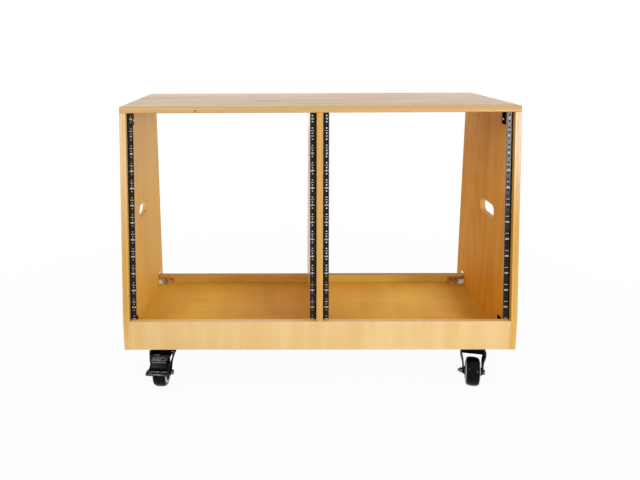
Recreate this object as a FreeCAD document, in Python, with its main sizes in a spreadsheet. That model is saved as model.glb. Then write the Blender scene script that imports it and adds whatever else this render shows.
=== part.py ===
# Side-by-side studio rack stand: two 12-unit 19-inch bays in a birch plywood
# case with a face that leans back, steel rack rails in front, an open back
# and four swivel casters.
# Frame: +X is the viewer's right, +Y the back, +Z up, lengths in millimetres.
# The origin lies on the ground, midway between the four caster pivots.
import FreeCAD, Part
import Sketcher
import math
import os

SIZES = {
    # Rack standard
    "unit_height": 44.45,
    "units_high": 12,
    "hole_span": 465.1,
    "hole_inset": 10.2,
    "hole_edge_distance": 6.3,
    "first_hole_height": 6.35,
    "hole_spacing": 15.875,
    "rack_hole_radius": 3.0,
    # Case
    "board_thickness": 16.0,
    "base_depth": 500.0,
    "kick_height": 78.0,
    "face_tilt": 7.0,
    "lip_inset": 40.0,
    "lip_height": 41.0,
    # Hand slots in the side panels
    "slot_length": 118.0,
    "slot_height": 37.0,
    "slot_centre_back": 242.0,
    "slot_centre_up": 318.0,
    # Rack rails
    "rail_overlength": 4.0,
    "rail_foot_gap": 2.3,
    "rail_head_gap": 0.3,
    "rail_setback": 14.0,
    "rail_side_depth": 30.0,
    "rail_thickness": 2.0,
    "rail_bend_radius": 1.5,
    "rail_fixing_count": 6,
    "rail_fixing_spacing": 90.0,
    "rail_fixing_start": 33.7,
    "rail_fixing_depth": 18.0,
    # Wood screws and dowels
    "screw_radius": 1.75,
    "screw_head_radius": 3.75,
    "screw_head_height": 2.2,
    "screw_length": 14.0,
    "screw_point_length": 3.0,
    "screw_hole_radius": 2.1,
    "pilot_clearance": 0.05,
    "dowel_radius": 4.0,
    "dowel_length": 30.0,
    "dowel_face_depth": 10.0,
    "dowel_clearance": 0.1,
    "dowel_end_room": 0.5,
    # Three-way brackets at the rear bottom corners
    "corner_thickness": 2.0,
    "corner_lip_length": 48.0,
    "corner_lip_height": 20.0,
    "corner_wall_length": 28.0,
    "corner_wall_height": 40.0,
    "corner_floor_length": 34.0,
    "corner_floor_width": 20.0,
    "corner_chamfer": 4.0,
    # Two-way brackets near the front corners
    "elbow_leg_length": 40.0,
    "elbow_width": 25.0,
    "elbow_thickness": 2.5,
    "elbow_hole_distance": 26.0,
    "elbow_top_distance": 64.0,
    "elbow_floor_distance": 70.0,
    # Casters
    "caster_height": 102.0,
    "caster_side_inset": 98.0,
    "front_pivot_back": 42.0,
    "rear_pivot_inset": 86.0,
    "caster_trail": 36.0,
    "heading_front_left": -5.0,
    "heading_front_right": -13.0,
    "heading_rear_left": 180.0,
    "heading_rear_right": 175.0,
    "plate_width": 60.0,
    "plate_thickness": 2.5,
    "plate_corner": 6.0,
    "plate_hole_spacing": 44.0,
    "plate_hole_radius": 2.3,
    "race_radius": 24.0,
    "race_height": 3.5,
    "race_gap": 0.3,
    "kingpin_radius": 5.0,
    "kingpin_head_radius": 9.0,
    "kingpin_head_height": 3.0,
    "kingpin_play": 0.1,
    "kingpin_head_gap": 0.2,
    "press_play": 0.05,
    "fork_thickness": 3.0,
    "fork_rim_depth": 6.0,
    "fork_leg_thickness": 2.5,
    "fork_outer_top": 31.0,
    "fork_outer_axle": 25.0,
    "fork_knee_drop": 12.0,
    "fork_knee_rise": 20.0,
    "fork_top_reach": 30.0,
    "fork_top_back": 18.0,
    "fork_heel_drop": 9.0,
    "fork_boss_radius": 11.0,
    "wheel_headroom": 27.0,
    "wheel_width": 34.0,
    "tyre_depth": 9.5,
    "tyre_shoulder": 6.0,
    "rim_width": 31.0,
    "rim_thickness": 4.0,
    "web_thickness": 8.0,
    "hub_radius": 11.0,
    "hub_side_gap": 0.3,
    "bush_radius": 6.0,
    "bush_play": 0.05,
    "axle_radius": 4.0,
    "axle_play": 0.1,
    "axle_head_flats": 13.0,
    "axle_head_height": 6.5,
    "axle_nut_flats": 13.0,
    "axle_nut_height": 8.0,
    "axle_thread_end": 4.0,
    # Brake pedals
    "pedal_pin_radius": 3.0,
    "pedal_pin_head_radius": 4.5,
    "pedal_pin_head_height": 1.5,
    "pedal_pin_play": 0.05,
    "pedal_half_width": 23.5,
    "pedal_lip_half_width": 28.5,
    "pedal_ear_thickness": 2.5,
    # Cutting allowance
    "overrun": 5.0,
}

doc = FreeCAD.newDocument("rack_stand")
sheet = doc.addObject("Spreadsheet::Sheet", "sizes")
for row, (name, number) in enumerate(SIZES.items(), start=1):
    sheet.set("A%d" % row, name)
    sheet.set("B%d" % row, str(number))
    sheet.setAlias("B%d" % row, name)
doc.recompute()


class Size:
    """A length with its number and the sheet expression that gives it."""

    def __init__(self, value, text):
        self.value = value
        self.text = text

    def __add__(self, other):
        other = as_size(other)
        return Size(self.value + other.value, "(%s + %s)" % (self.text, other.text))

    def __sub__(self, other):
        other = as_size(other)
        return Size(self.value - other.value, "(%s - %s)" % (self.text, other.text))

    def __mul__(self, other):
        other = as_size(other)
        return Size(self.value * other.value, "(%s * %s)" % (self.text, other.text))

    def __truediv__(self, other):
        other = as_size(other)
        return Size(self.value / other.value, "(%s / %s)" % (self.text, other.text))

    def __neg__(self):
        return Size(-self.value, "(0 - %s)" % self.text)

    __rmul__ = __mul__


def as_size(number):
    if isinstance(number, Size):
        return number
    return Size(float(number), "(%s)" % repr(float(number)))


def size(name):
    return Size(float(sheet.get(name)), "sizes." + name)


def sine(angle):
    return Size(math.sin(math.radians(angle.value)), "sin(%s * 1 deg)" % angle.text)


def cosine(angle):
    return Size(math.cos(math.radians(angle.value)), "cos(%s * 1 deg)" % angle.text)


ZERO = Size(0.0, "0")


# Helpers for bodies, sketches and features

def new_body(label):
    body = doc.addObject("PartDesign::Body", label)
    body.Label = label
    return body


def sketch_on(body, name, role, height=ZERO):
    plane = [part for part in body.Origin.OriginFeatures if part.Role == role][0]
    sketch = body.newObject("Sketcher::SketchObject", name)
    sketch.AttachmentSupport = [(plane, "")]
    sketch.MapMode = "FlatFace"
    sketch.setExpression(".AttachmentOffset.Base.z", height.text)
    return sketch


def fix(sketch, kind, geometry, point, length):
    constraint = Sketcher.Constraint(kind, -1, 1, geometry, point, length.value)
    number = sketch.addConstraint(constraint)
    sketch.setExpression("Constraints[%d]" % number, length.text)


def fix_point(sketch, geometry, point, across, up):
    fix(sketch, "DistanceX", geometry, point, across)
    fix(sketch, "DistanceY", geometry, point, up)


def outline(sketch, points):
    first = sketch.GeometryCount
    count = len(points)
    for index, (across, up) in enumerate(points):
        after, above = points[(index + 1) % count]
        start = FreeCAD.Vector(across.value, up.value, 0)
        end = FreeCAD.Vector(after.value, above.value, 0)
        sketch.addGeometry(Part.LineSegment(start, end), False)
    for index in range(count):
        following = first + (index + 1) % count
        sketch.addConstraint(Sketcher.Constraint("Coincident", first + index, 2, following, 1))
    for index, (across, up) in enumerate(points):
        fix_point(sketch, first + index, 1, across, up)


def rectangle(sketch, left, right, low, high):
    outline(sketch, [(left, low), (right, low), (right, high), (left, high)])


def circle(sketch, across, up, radius):
    centre = FreeCAD.Vector(across.value, up.value, 0)
    round_edge = Part.Circle(centre, FreeCAD.Vector(0, 0, 1), radius.value)
    index = sketch.addGeometry(round_edge, False)
    fix_point(sketch, index, 3, across, up)
    number = sketch.addConstraint(Sketcher.Constraint("Radius", index, radius.value))
    sketch.setExpression("Constraints[%d]" % number, radius.text)


def slot(sketch, across, up, length, height):
    """A slot with round ends, its long way across the sketch."""
    radius = height / 2
    near = across - length / 2 + radius
    far = across + length / 2 - radius
    low = up - radius
    high = up + radius
    first = sketch.GeometryCount
    for start, end, level in ((near, far, high), (far, near, low)):
        left = FreeCAD.Vector(start.value, level.value, 0)
        right = FreeCAD.Vector(end.value, level.value, 0)
        sketch.addGeometry(Part.LineSegment(left, right), False)
    for middle, begin, finish in ((far, -90, 90), (near, 90, 270)):
        centre = FreeCAD.Vector(middle.value, up.value, 0)
        round_end = Part.Circle(centre, FreeCAD.Vector(0, 0, 1), radius.value)
        arc = Part.ArcOfCircle(round_end, math.radians(begin), math.radians(finish))
        sketch.addGeometry(arc, False)
    for line, point, arc, end in ((0, 2, 2, 2), (1, 1, 2, 1), (1, 2, 3, 2), (0, 1, 3, 1)):
        tie = Sketcher.Constraint("Coincident", first + arc, end, first + line, point)
        sketch.addConstraint(tie)
    fix_point(sketch, first, 1, near, high)
    fix_point(sketch, first, 2, far, high)
    fix_point(sketch, first + 1, 1, far, low)
    fix_point(sketch, first + 1, 2, near, low)
    fix(sketch, "DistanceX", first + 2, 3, far)
    fix(sketch, "DistanceX", first + 3, 3, near)


def pad(body, name, sketch, length, reverse=False):
    feature = body.newObject("PartDesign::Pad", name)
    feature.Profile = sketch
    feature.setExpression("Length", length.text)
    feature.Reversed = reverse
    sketch.Visibility = False
    return feature


def pocket(body, name, sketch, length, reverse=False):
    feature = body.newObject("PartDesign::Pocket", name)
    feature.Profile = sketch
    feature.setExpression("Length", length.text)
    feature.Reversed = reverse
    sketch.Visibility = False
    return feature


def revolve(body, name, sketch, axis):
    feature = body.newObject("PartDesign::Revolution", name)
    feature.Profile = sketch
    feature.ReferenceAxis = (sketch, [axis])
    feature.Angle = 360.0
    sketch.Visibility = False
    return feature


def repeat(body, name, feature, role, length, occurrences):
    axis = [part for part in body.Origin.OriginFeatures if part.Role == role][0]
    pattern = body.newObject("PartDesign::LinearPattern", name)
    pattern.Originals = [feature]
    pattern.Direction = (axis, [""])
    pattern.setExpression("Length", length.text)
    pattern.setExpression("Occurrences", occurrences.text)
    body.Tip = pattern
    return pattern


def place(shape, across, back, up, rotation=None):
    base = FreeCAD.Vector(across.value, back.value, up.value)
    shape.Placement = FreeCAD.Placement(base, rotation or FreeCAD.Rotation())


def copies(label, master, places):
    """One node that holds a copy of the master's shape at each place."""
    group = doc.addObject("Part::Feature", label)
    group.Label = label
    shapes = []
    for spot in places:
        shape = master.Shape.copy()
        shape.Placement = spot
        shapes.append(shape)
    group.Shape = Part.makeCompound(shapes)
    group.Placement = FreeCAD.Placement()
    return group


nodes = []
overrun = size("overrun")

# Sizes of the case, measured from its front face, its middle and its underside

board = size("board_thickness")
hole_in = size("hole_inset")
bay = size("hole_span") + hole_in * 2
depth = size("base_depth")
kick = size("kick_height")
tilt = size("face_tilt")
lean_sine = sine(tilt)
lean_cosine = cosine(tilt)
rail_setback = size("rail_setback")
rail_length = size("unit_height") * size("units_high") + size("rail_overlength")
inner_height = (
    (size("rail_foot_gap") + rail_length) * lean_cosine
    - rail_setback * lean_sine
    + size("rail_head_gap")
)
wall = board / 2 + bay
outer_half = wall + board
shelf = kick + inner_height
roof = shelf + board
setback_low = inner_height * lean_sine / lean_cosine
setback_high = (inner_height + board) * lean_sine / lean_cosine
lip_front = depth - size("lip_inset") - board
lip_top = size("lip_height")

# The case stands on the casters, centred between their pivots

case_up = size("caster_height")
front_pivot = size("front_pivot_back")
rear_pivot = depth - size("rear_pivot_inset")
pivot_mid = (front_pivot + rear_pivot) / 2
pivot_side = outer_half - size("caster_side_inset")


def place_in_case(body, across=ZERO, back=ZERO, up=ZERO, rotation=None):
    place(body, across, back - pivot_mid, up + case_up, rotation)


# Where screws and dowels go, shared by the boards and by the fasteners

screw_radius = size("screw_radius")
screw_length = size("screw_length")
pilot_radius = screw_radius + size("pilot_clearance")
dowel_hole = size("dowel_radius") + size("dowel_clearance")
dowel_length = size("dowel_length")
dowel_face = size("dowel_face_depth")
dowel_edge = dowel_length - dowel_face
dowel_room = size("dowel_end_room")

TOP_DOWEL_SHARES = (0.25, 0.55, 0.85)
FLOOR_DOWEL_SHARES = (0.25, 0.5, 0.75)
DIVIDER_DOWEL_SHARES = (0.3, 0.8)
KICK_DOWEL_SHARES = (0.3, 0.75)

floor_span = lip_front - board
top_dowel_backs = [setback_low + (depth - setback_low) * share for share in TOP_DOWEL_SHARES]
floor_dowel_backs = [board + floor_span * share for share in FLOOR_DOWEL_SHARES]
divider_dowel_backs = [board + floor_span * share for share in DIVIDER_DOWEL_SHARES]
kick_dowel_ups = [kick * share for share in KICK_DOWEL_SHARES]
end_dowels = [(back, board / 2) for back in floor_dowel_backs]
end_dowels += [(board / 2, up) for up in kick_dowel_ups]
end_dowels += [(lip_front + board / 2, lip_top / 2)]

# Screws along a rail, as distances up the rail and points in the case

rail_foot_back = size("rail_foot_gap") * lean_sine + rail_setback * lean_cosine
rail_foot_up = kick + size("rail_foot_gap") * lean_cosine - rail_setback * lean_sine
screw_back = size("rail_fixing_depth")
start = size("rail_fixing_start")
pitch = size("rail_fixing_spacing")
screw_count = int(round(size("rail_fixing_count").value))
upright_screws = [start + pitch * number for number in range(screw_count)]
turned_screws = [rail_length - distance for distance in upright_screws]


def on_rail(distance):
    back = rail_foot_back + distance * lean_sine + screw_back * lean_cosine
    up = rail_foot_up + distance * lean_cosine - screw_back * lean_sine
    return back, up


# Bracket positions

corner_sheet = size("corner_thickness")
corner_lip_length = size("corner_lip_length")
corner_lip_height = size("corner_lip_height")
corner_wall_length = size("corner_wall_length")
corner_wall_height = size("corner_wall_height")
corner_floor_length = size("corner_floor_length")
corner_floor_width = size("corner_floor_width")
CORNER_LIP_HOLE_SHARES = (0.45, 0.8)
CORNER_TAB_HOLE_SHARE = 0.68
CORNER_MIDDLE_SHARE = 0.6
corner_lip_outs = [corner_lip_length * share for share in CORNER_LIP_HOLE_SHARES]
corner_lip_up = corner_lip_height * CORNER_MIDDLE_SHARE
corner_wall_back = corner_wall_length * CORNER_MIDDLE_SHARE
corner_wall_up = corner_wall_height * CORNER_TAB_HOLE_SHARE
corner_floor_out = corner_floor_length * CORNER_TAB_HOLE_SHARE
corner_floor_back = corner_floor_width * CORNER_MIDDLE_SHARE

elbow_sheet = size("elbow_thickness")
elbow_leg = size("elbow_leg_length")
elbow_width = size("elbow_width")
elbow_out = size("elbow_hole_distance")
elbow_top_start = setback_low + size("elbow_top_distance")
elbow_floor_start = size("elbow_floor_distance")
elbow_top_middle = elbow_top_start + elbow_width / 2
elbow_floor_middle = elbow_floor_start + elbow_width / 2

# Pilot holes in the inner face of a side panel, as points back and up
bracket_pilots = [
    (elbow_top_middle, shelf - elbow_out),
    (elbow_floor_middle, board + elbow_out),
    (lip_front - corner_wall_back, board + corner_wall_up),
]
plate_depth = screw_length - corner_sheet + dowel_room
rail_pilot_depth = screw_length - size("rail_thickness") + dowel_room


# Side panels: plywood boards with a leaning front edge and a hand slot

def side_panel(label, sign, screw_places):
    body = new_body(label)
    inner = board if sign < 0 else ZERO
    flip = sign > 0
    profile = sketch_on(body, label + "_profile", "YZ_Plane")
    outline(profile, [
        (ZERO, ZERO),
        (ZERO, kick),
        (setback_low, shelf),
        (depth, shelf),
        (depth, ZERO),
    ])
    slot(profile, size("slot_centre_back"), size("slot_centre_up"),
         size("slot_length"), size("slot_height"))
    pad(body, label + "_board", profile, board)
    pilots = sketch_on(body, label + "_pilots", "YZ_Plane", inner)
    for distance in screw_places:
        back, up = on_rail(distance)
        circle(pilots, back, up, pilot_radius)
    for back, up in bracket_pilots:
        circle(pilots, back, up, pilot_radius)
    pocket(body, label + "_pilot_holes", pilots, plate_depth, flip)
    dowels = sketch_on(body, label + "_dowels", "YZ_Plane", inner)
    for back, up in end_dowels:
        circle(dowels, back, up, dowel_hole)
    pocket(body, label + "_dowel_holes", dowels, dowel_face + dowel_room, flip)
    tops = sketch_on(body, label + "_tops", "XY_Plane", shelf)
    for back in top_dowel_backs:
        circle(tops, board / 2, back, dowel_hole)
    pocket(body, label + "_top_holes", tops, dowel_edge + dowel_room)
    place_in_case(body, -outer_half if sign < 0 else wall)
    nodes.append(body)


side_panel("left_side_panel", -1, upright_screws)
side_panel("right_side_panel", 1, turned_screws)

# Top panel: lies over the side panels, its front edge cut to the lean

top = new_body("top_panel")
top_profile = sketch_on(top, "top_profile", "YZ_Plane", -outer_half)
outline(top_profile, [
    (setback_low, shelf),
    (setback_high, roof),
    (depth, roof),
    (depth, shelf),
])
pad(top, "top_board", top_profile, outer_half * 2)
top_dowels = sketch_on(top, "top_dowels", "XY_Plane", shelf)
for across in (board / 2 - outer_half, ZERO, outer_half - board / 2):
    for back in top_dowel_backs:
        circle(top_dowels, across, back, dowel_hole)
pocket(top, "top_dowel_holes", top_dowels, dowel_face + dowel_room, True)
top_pilots = sketch_on(top, "top_pilots", "XY_Plane", shelf)
for sign in (-1, 1):
    circle(top_pilots, (wall - elbow_out) * sign, elbow_top_middle, pilot_radius)
pocket(top, "top_pilot_holes", top_pilots, plate_depth, True)
place_in_case(top)
nodes.append(top)

# Centre divider: stands on the floor, notched over the kickboard and the lip

divider = new_body("centre_divider")
divider_profile = sketch_on(divider, "divider_profile", "YZ_Plane", -board / 2)
outline(divider_profile, [
    (board, board),
    (board, kick),
    (ZERO, kick),
    (setback_low, shelf),
    (depth, shelf),
    (depth, lip_top),
    (lip_front, lip_top),
    (lip_front, board),
])
pad(divider, "divider_board", divider_profile, board)
divider_left = sketch_on(divider, "divider_left", "YZ_Plane", -board / 2)
for distance in turned_screws:
    back, up = on_rail(distance)
    circle(divider_left, back, up, pilot_radius)
pocket(divider, "divider_left_holes", divider_left, rail_pilot_depth, True)
divider_right = sketch_on(divider, "divider_right", "YZ_Plane", board / 2)
for distance in upright_screws:
    back, up = on_rail(distance)
    circle(divider_right, back, up, pilot_radius)
pocket(divider, "divider_right_holes", divider_right, rail_pilot_depth)
divider_tops = sketch_on(divider, "divider_tops", "XY_Plane", shelf)
for back in top_dowel_backs:
    circle(divider_tops, ZERO, back, dowel_hole)
pocket(divider, "divider_top_holes", divider_tops, dowel_edge + dowel_room)
divider_feet = sketch_on(divider, "divider_feet", "XY_Plane", board)
for back in divider_dowel_backs:
    circle(divider_feet, ZERO, back, dowel_hole)
pocket(divider, "divider_foot_holes", divider_feet, dowel_edge + dowel_room, True)
place_in_case(divider)
nodes.append(divider)

# Floor panel: lies between the side panels, from the kickboard to the lip

half_spacing = size("plate_hole_spacing") / 2
caster_pilots = []
for side in (-1, 1):
    for pivot in (front_pivot, rear_pivot):
        for across in (-1, 1):
            for along in (-1, 1):
                spot = (pivot_side * side + half_spacing * across, pivot + half_spacing * along)
                caster_pilots.append(spot)

floor = new_body("floor_panel")
floor_profile = sketch_on(floor, "floor_profile", "XY_Plane")
rectangle(floor_profile, -wall, wall, board, lip_front)
pad(floor, "floor_board", floor_profile, board)
floor_under = sketch_on(floor, "floor_under", "XY_Plane")
for across, back in caster_pilots:
    circle(floor_under, across, back, pilot_radius)
pocket(floor, "floor_caster_holes", floor_under,
       screw_length - size("plate_thickness") + dowel_room, True)
floor_upper = sketch_on(floor, "floor_upper", "XY_Plane", board)
for sign in (-1, 1):
    circle(floor_upper, (wall - elbow_out) * sign, elbow_floor_middle, pilot_radius)
    circle(floor_upper, (wall - corner_floor_out) * sign, lip_front - corner_floor_back,
           pilot_radius)
pocket(floor, "floor_bracket_holes", floor_upper, plate_depth)
floor_middle = sketch_on(floor, "floor_middle", "XY_Plane", board)
for back in divider_dowel_backs:
    circle(floor_middle, ZERO, back, dowel_hole)
pocket(floor, "floor_divider_holes", floor_middle, dowel_face + dowel_room)
for sign, name in ((-1, "left"), (1, "right")):
    ends = sketch_on(floor, "floor_%s_end" % name, "YZ_Plane", wall * sign)
    for back in floor_dowel_backs:
        circle(ends, back, board / 2, dowel_hole)
    pocket(floor, "floor_%s_holes" % name, ends, dowel_edge + dowel_room, sign < 0)
place_in_case(floor)
nodes.append(floor)

# Kickboard: upright board across the front, between the side panels

kickboard = new_body("front_kickboard")
kick_profile = sketch_on(kickboard, "kick_profile", "XY_Plane")
rectangle(kick_profile, -wall, wall, ZERO, board)
pad(kickboard, "kick_board", kick_profile, kick)
for sign, name in ((-1, "left"), (1, "right")):
    ends = sketch_on(kickboard, "kick_%s_end" % name, "YZ_Plane", wall * sign)
    for up in kick_dowel_ups:
        circle(ends, board / 2, up, dowel_hole)
    pocket(kickboard, "kick_%s_holes" % name, ends, dowel_edge + dowel_room, sign < 0)
place_in_case(kickboard)
nodes.append(kickboard)

# Rear lip: low batten against the back edge of the floor

lip = new_body("rear_lip")
lip_profile = sketch_on(lip, "lip_profile", "XY_Plane")
rectangle(lip_profile, -wall, wall, lip_front, lip_front + board)
pad(lip, "lip_board", lip_profile, lip_top)
for sign, name in ((-1, "left"), (1, "right")):
    ends = sketch_on(lip, "lip_%s_end" % name, "YZ_Plane", wall * sign)
    circle(ends, lip_front + board / 2, lip_top / 2, dowel_hole)
    pocket(lip, "lip_%s_hole" % name, ends, dowel_edge + dowel_room, sign < 0)
lip_pilots = sketch_on(lip, "lip_pilots", "XZ_Plane", -lip_front)
for sign in (-1, 1):
    for out in corner_lip_outs:
        circle(lip_pilots, (wall - out) * sign, board + corner_lip_up, pilot_radius)
pocket(lip, "lip_pilot_holes", lip_pilots, plate_depth)
place_in_case(lip)
nodes.append(lip)


# Rack rails: folded steel angles, the punched face to the front and the side
# flange running back along the wood

def edge_along(shape, across, back):
    """The name of the edge that runs up at the given point of the section."""
    for number, edge in enumerate(shape.Edges, start=1):
        ends = [vertex.Point for vertex in edge.Vertexes]
        if len(ends) != 2 or abs(ends[0].z - ends[1].z) < abs(shape.BoundBox.ZLength) / 2:
            continue
        offsets = [math.hypot(end.x - across.value, end.y - back.value) for end in ends]
        if max(offsets) < rail_sheet.value / 10:
            return "Edge%d" % number
    raise ValueError("no edge at the corner")


rail_sheet = size("rail_thickness")
rail_face = hole_in + size("hole_edge_distance")
rail_side = size("rail_side_depth")
rail_bend = size("rail_bend_radius")
HOLES_PER_UNIT = 3


def rack_rail(label, across, turned):
    body = new_body(label)
    section = sketch_on(body, label + "_section", "XY_Plane")
    outline(section, [
        (ZERO, ZERO),
        (rail_face, ZERO),
        (rail_face, rail_sheet),
        (rail_sheet, rail_sheet),
        (rail_sheet, rail_side),
        (ZERO, rail_side),
    ])
    length = pad(body, label + "_length", section, rail_length)
    doc.recompute()
    bend = body.newObject("PartDesign::Fillet", label + "_bend")
    bend.Base = (length, [edge_along(length.Shape, ZERO, ZERO)])
    bend.setExpression("Radius", (rail_bend + rail_sheet).text)
    doc.recompute()
    crease = body.newObject("PartDesign::Fillet", label + "_crease")
    crease.Base = (bend, [edge_along(bend.Shape, rail_sheet, rail_sheet)])
    crease.setExpression("Radius", rail_bend.text)
    doc.recompute()
    face = sketch_on(body, label + "_face", "XZ_Plane")
    first = size("rail_overlength") / 2 + size("first_hole_height")
    for step in range(HOLES_PER_UNIT):
        circle(face, hole_in, first + size("hole_spacing") * step, size("rack_hole_radius"))
    holes = pocket(body, label + "_holes", face, rail_sheet + overrun)
    doc.recompute()
    units = size("units_high")
    repeat(body, label + "_units", holes, "Z_Axis", size("unit_height") * (units - 1), units)
    doc.recompute()
    flank = sketch_on(body, label + "_flank", "YZ_Plane", rail_sheet)
    circle(flank, screw_back, start, size("screw_hole_radius"))
    fixings = pocket(body, label + "_fixings", flank, rail_sheet + overrun)
    doc.recompute()
    count = size("rail_fixing_count")
    repeat(body, label + "_screws", fixings, "Z_Axis", pitch * (count - 1), count)
    lean = FreeCAD.Rotation(FreeCAD.Vector(1, 0, 0), -tilt.value)
    back = rail_foot_back
    up = rail_foot_up
    if turned:
        lean = lean.multiply(FreeCAD.Rotation(FreeCAD.Vector(0, 1, 0), 180))
        back = back + rail_length * lean_sine
        up = up + rail_length * lean_cosine
    place_in_case(body, across, back, up, lean)
    nodes.append(body)


rack_rail("left_bay_left_rail", -wall, False)
rack_rail("left_bay_right_rail", -board / 2, True)
rack_rail("right_bay_left_rail", board / 2, False)
rack_rail("right_bay_right_rail", wall, True)


# Three-way brackets: zinc-plated sheet in the rear bottom corners

def tab_outline(sketch, sign, out, up, swap=False):
    """A tab from the corner, its two free corners cut off."""
    cut = size("corner_chamfer")
    points = [
        (ZERO, ZERO),
        (out * sign, ZERO),
        (out * sign, up - cut),
        ((out - cut) * sign, up),
        (ZERO, up),
    ]
    if swap:
        points = [(second, first) for first, second in points]
    outline(sketch, points)


def corner_bracket(label, sign):
    # The corner is at the local origin: tabs run across by the sign, to the
    # front and up
    body = new_body(label)
    hole = size("screw_hole_radius")
    lip_tab = sketch_on(body, label + "_lip_tab", "XZ_Plane")
    tab_outline(lip_tab, sign, corner_lip_length, corner_lip_height)
    for out in corner_lip_outs:
        circle(lip_tab, out * sign, corner_lip_up, hole)
    pad(body, label + "_lip_sheet", lip_tab, corner_sheet)
    side = ZERO if sign > 0 else -corner_sheet
    wall_tab = sketch_on(body, label + "_wall_tab", "YZ_Plane", side)
    tab_outline(wall_tab, -1, corner_wall_length, corner_wall_height)
    circle(wall_tab, -corner_wall_back, corner_wall_up, hole)
    pad(body, label + "_wall_sheet", wall_tab, corner_sheet)
    floor_tab = sketch_on(body, label + "_floor_tab", "XY_Plane")
    cut = size("corner_chamfer")
    outline(floor_tab, [
        (ZERO, ZERO),
        (ZERO, -corner_floor_width),
        ((corner_floor_length - cut) * sign, -corner_floor_width),
        (corner_floor_length * sign, cut - corner_floor_width),
        (corner_floor_length * sign, ZERO),
    ])
    circle(floor_tab, corner_floor_out * sign, -corner_floor_back, hole)
    pad(body, label + "_floor_sheet", floor_tab, corner_sheet)
    place_in_case(body, wall * -sign, lip_front, board)
    nodes.append(body)


corner_bracket("rear_left_bracket", 1)
corner_bracket("rear_right_bracket", -1)


# Two-way brackets: zinc-plated angles near the front, above and below

def elbow_bracket(label, sign, level, rise, start_back):
    body = new_body(label)
    hole = size("screw_hole_radius")
    section = sketch_on(body, label + "_section", "XZ_Plane", -start_back)
    outline(section, [
        (ZERO, ZERO),
        (elbow_leg * sign, ZERO),
        (elbow_leg * sign, elbow_sheet * rise),
        (elbow_sheet * sign, elbow_sheet * rise),
        (elbow_sheet * sign, elbow_leg * rise),
        (ZERO, elbow_leg * rise),
    ])
    pad(body, label + "_elbow", section, elbow_width, True)
    flat = sketch_on(body, label + "_flat", "XY_Plane", elbow_sheet * rise)
    circle(flat, elbow_out * sign, start_back + elbow_width / 2, hole)
    pocket(body, label + "_flat_hole", flat, elbow_sheet + overrun, rise < 0)
    upright = sketch_on(body, label + "_upright", "YZ_Plane", elbow_sheet * sign)
    circle(upright, start_back + elbow_width / 2, elbow_out * rise, hole)
    pocket(body, label + "_upright_hole", upright, elbow_sheet + overrun, sign < 0)
    place_in_case(body, wall * -sign, ZERO, level)
    nodes.append(body)


elbow_bracket("front_left_bracket", 1, board, 1, elbow_floor_start)
elbow_bracket("front_right_bracket", -1, board, 1, elbow_floor_start)
elbow_bracket("top_left_bracket", 1, shelf, -1, elbow_top_start)
elbow_bracket("top_right_bracket", -1, shelf, -1, elbow_top_start)

# Wood screws: one turned shape with a domed head, copied to every place

head_radius = size("screw_head_radius")
head_height = size("screw_head_height")
DOME_SHARES = ((1.0, 0.0), (1.0, 0.35), (0.8, 0.8), (0.4, 1.0))
screw = new_body("screw_shape")
screw_profile = sketch_on(screw, "screw_profile", "XZ_Plane")
screw_points = [
    (ZERO, -screw_length),
    (screw_radius, size("screw_point_length") - screw_length),
    (screw_radius, ZERO),
]
screw_points += [(head_radius * out, head_height * up) for out, up in DOME_SHARES]
screw_points += [(ZERO, head_height)]
outline(screw_profile, screw_points)
revolve(screw, "screw_turned", screw_profile, "V_Axis")

dowel = doc.addObject("Part::Cylinder", "dowel_shape")
dowel.setExpression("Radius", size("dowel_radius").text)
dowel.setExpression("Height", dowel_length.text)
doc.recompute()


def spot(across, back, up, heading):
    """A place in the case whose own up axis points along the heading."""
    base = FreeCAD.Vector(across.value, (back - pivot_mid).value, (up + case_up).value)
    turn = FreeCAD.Rotation(FreeCAD.Vector(0, 0, 1), FreeCAD.Vector(*heading))
    return FreeCAD.Placement(base, turn)


screw_spots = []
for across, sign, distances in (
    (-wall, 1, upright_screws),
    (-board / 2, -1, turned_screws),
    (board / 2, 1, upright_screws),
    (wall, -1, turned_screws),
):
    for distance in distances:
        back, up = on_rail(distance)
        screw_spots.append(spot(across + rail_sheet * sign, back, up, (sign, 0, 0)))
nodes.append(copies("rail_screws", screw, screw_spots))

bracket_spots = []
for sign in (-1, 1):
    inward = (-sign, 0, 0)
    for out in corner_lip_outs:
        bracket_spots.append(spot((wall - out) * sign, lip_front - corner_sheet,
                                  board + corner_lip_up, (0, -1, 0)))
    bracket_spots.append(spot((wall - corner_sheet) * sign, lip_front - corner_wall_back,
                              board + corner_wall_up, inward))
    bracket_spots.append(spot((wall - corner_floor_out) * sign, lip_front - corner_floor_back,
                              board + corner_sheet, (0, 0, 1)))
    side = (wall - elbow_sheet) * sign
    bracket_spots.append(spot(side, elbow_floor_middle, board + elbow_out, inward))
    bracket_spots.append(spot((wall - elbow_out) * sign, elbow_floor_middle,
                              board + elbow_sheet, (0, 0, 1)))
    bracket_spots.append(spot(side, elbow_top_middle, shelf - elbow_out, inward))
    bracket_spots.append(spot((wall - elbow_out) * sign, elbow_top_middle,
                              shelf - elbow_sheet, (0, 0, -1)))
nodes.append(copies("bracket_screws", screw, bracket_spots))

caster_spots = []
for across, back in caster_pilots:
    caster_spots.append(spot(across, back, -size("plate_thickness"), (0, 0, -1)))
nodes.append(copies("caster_screws", screw, caster_spots))

# Dowels: hidden beech pins that locate the boards

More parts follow.
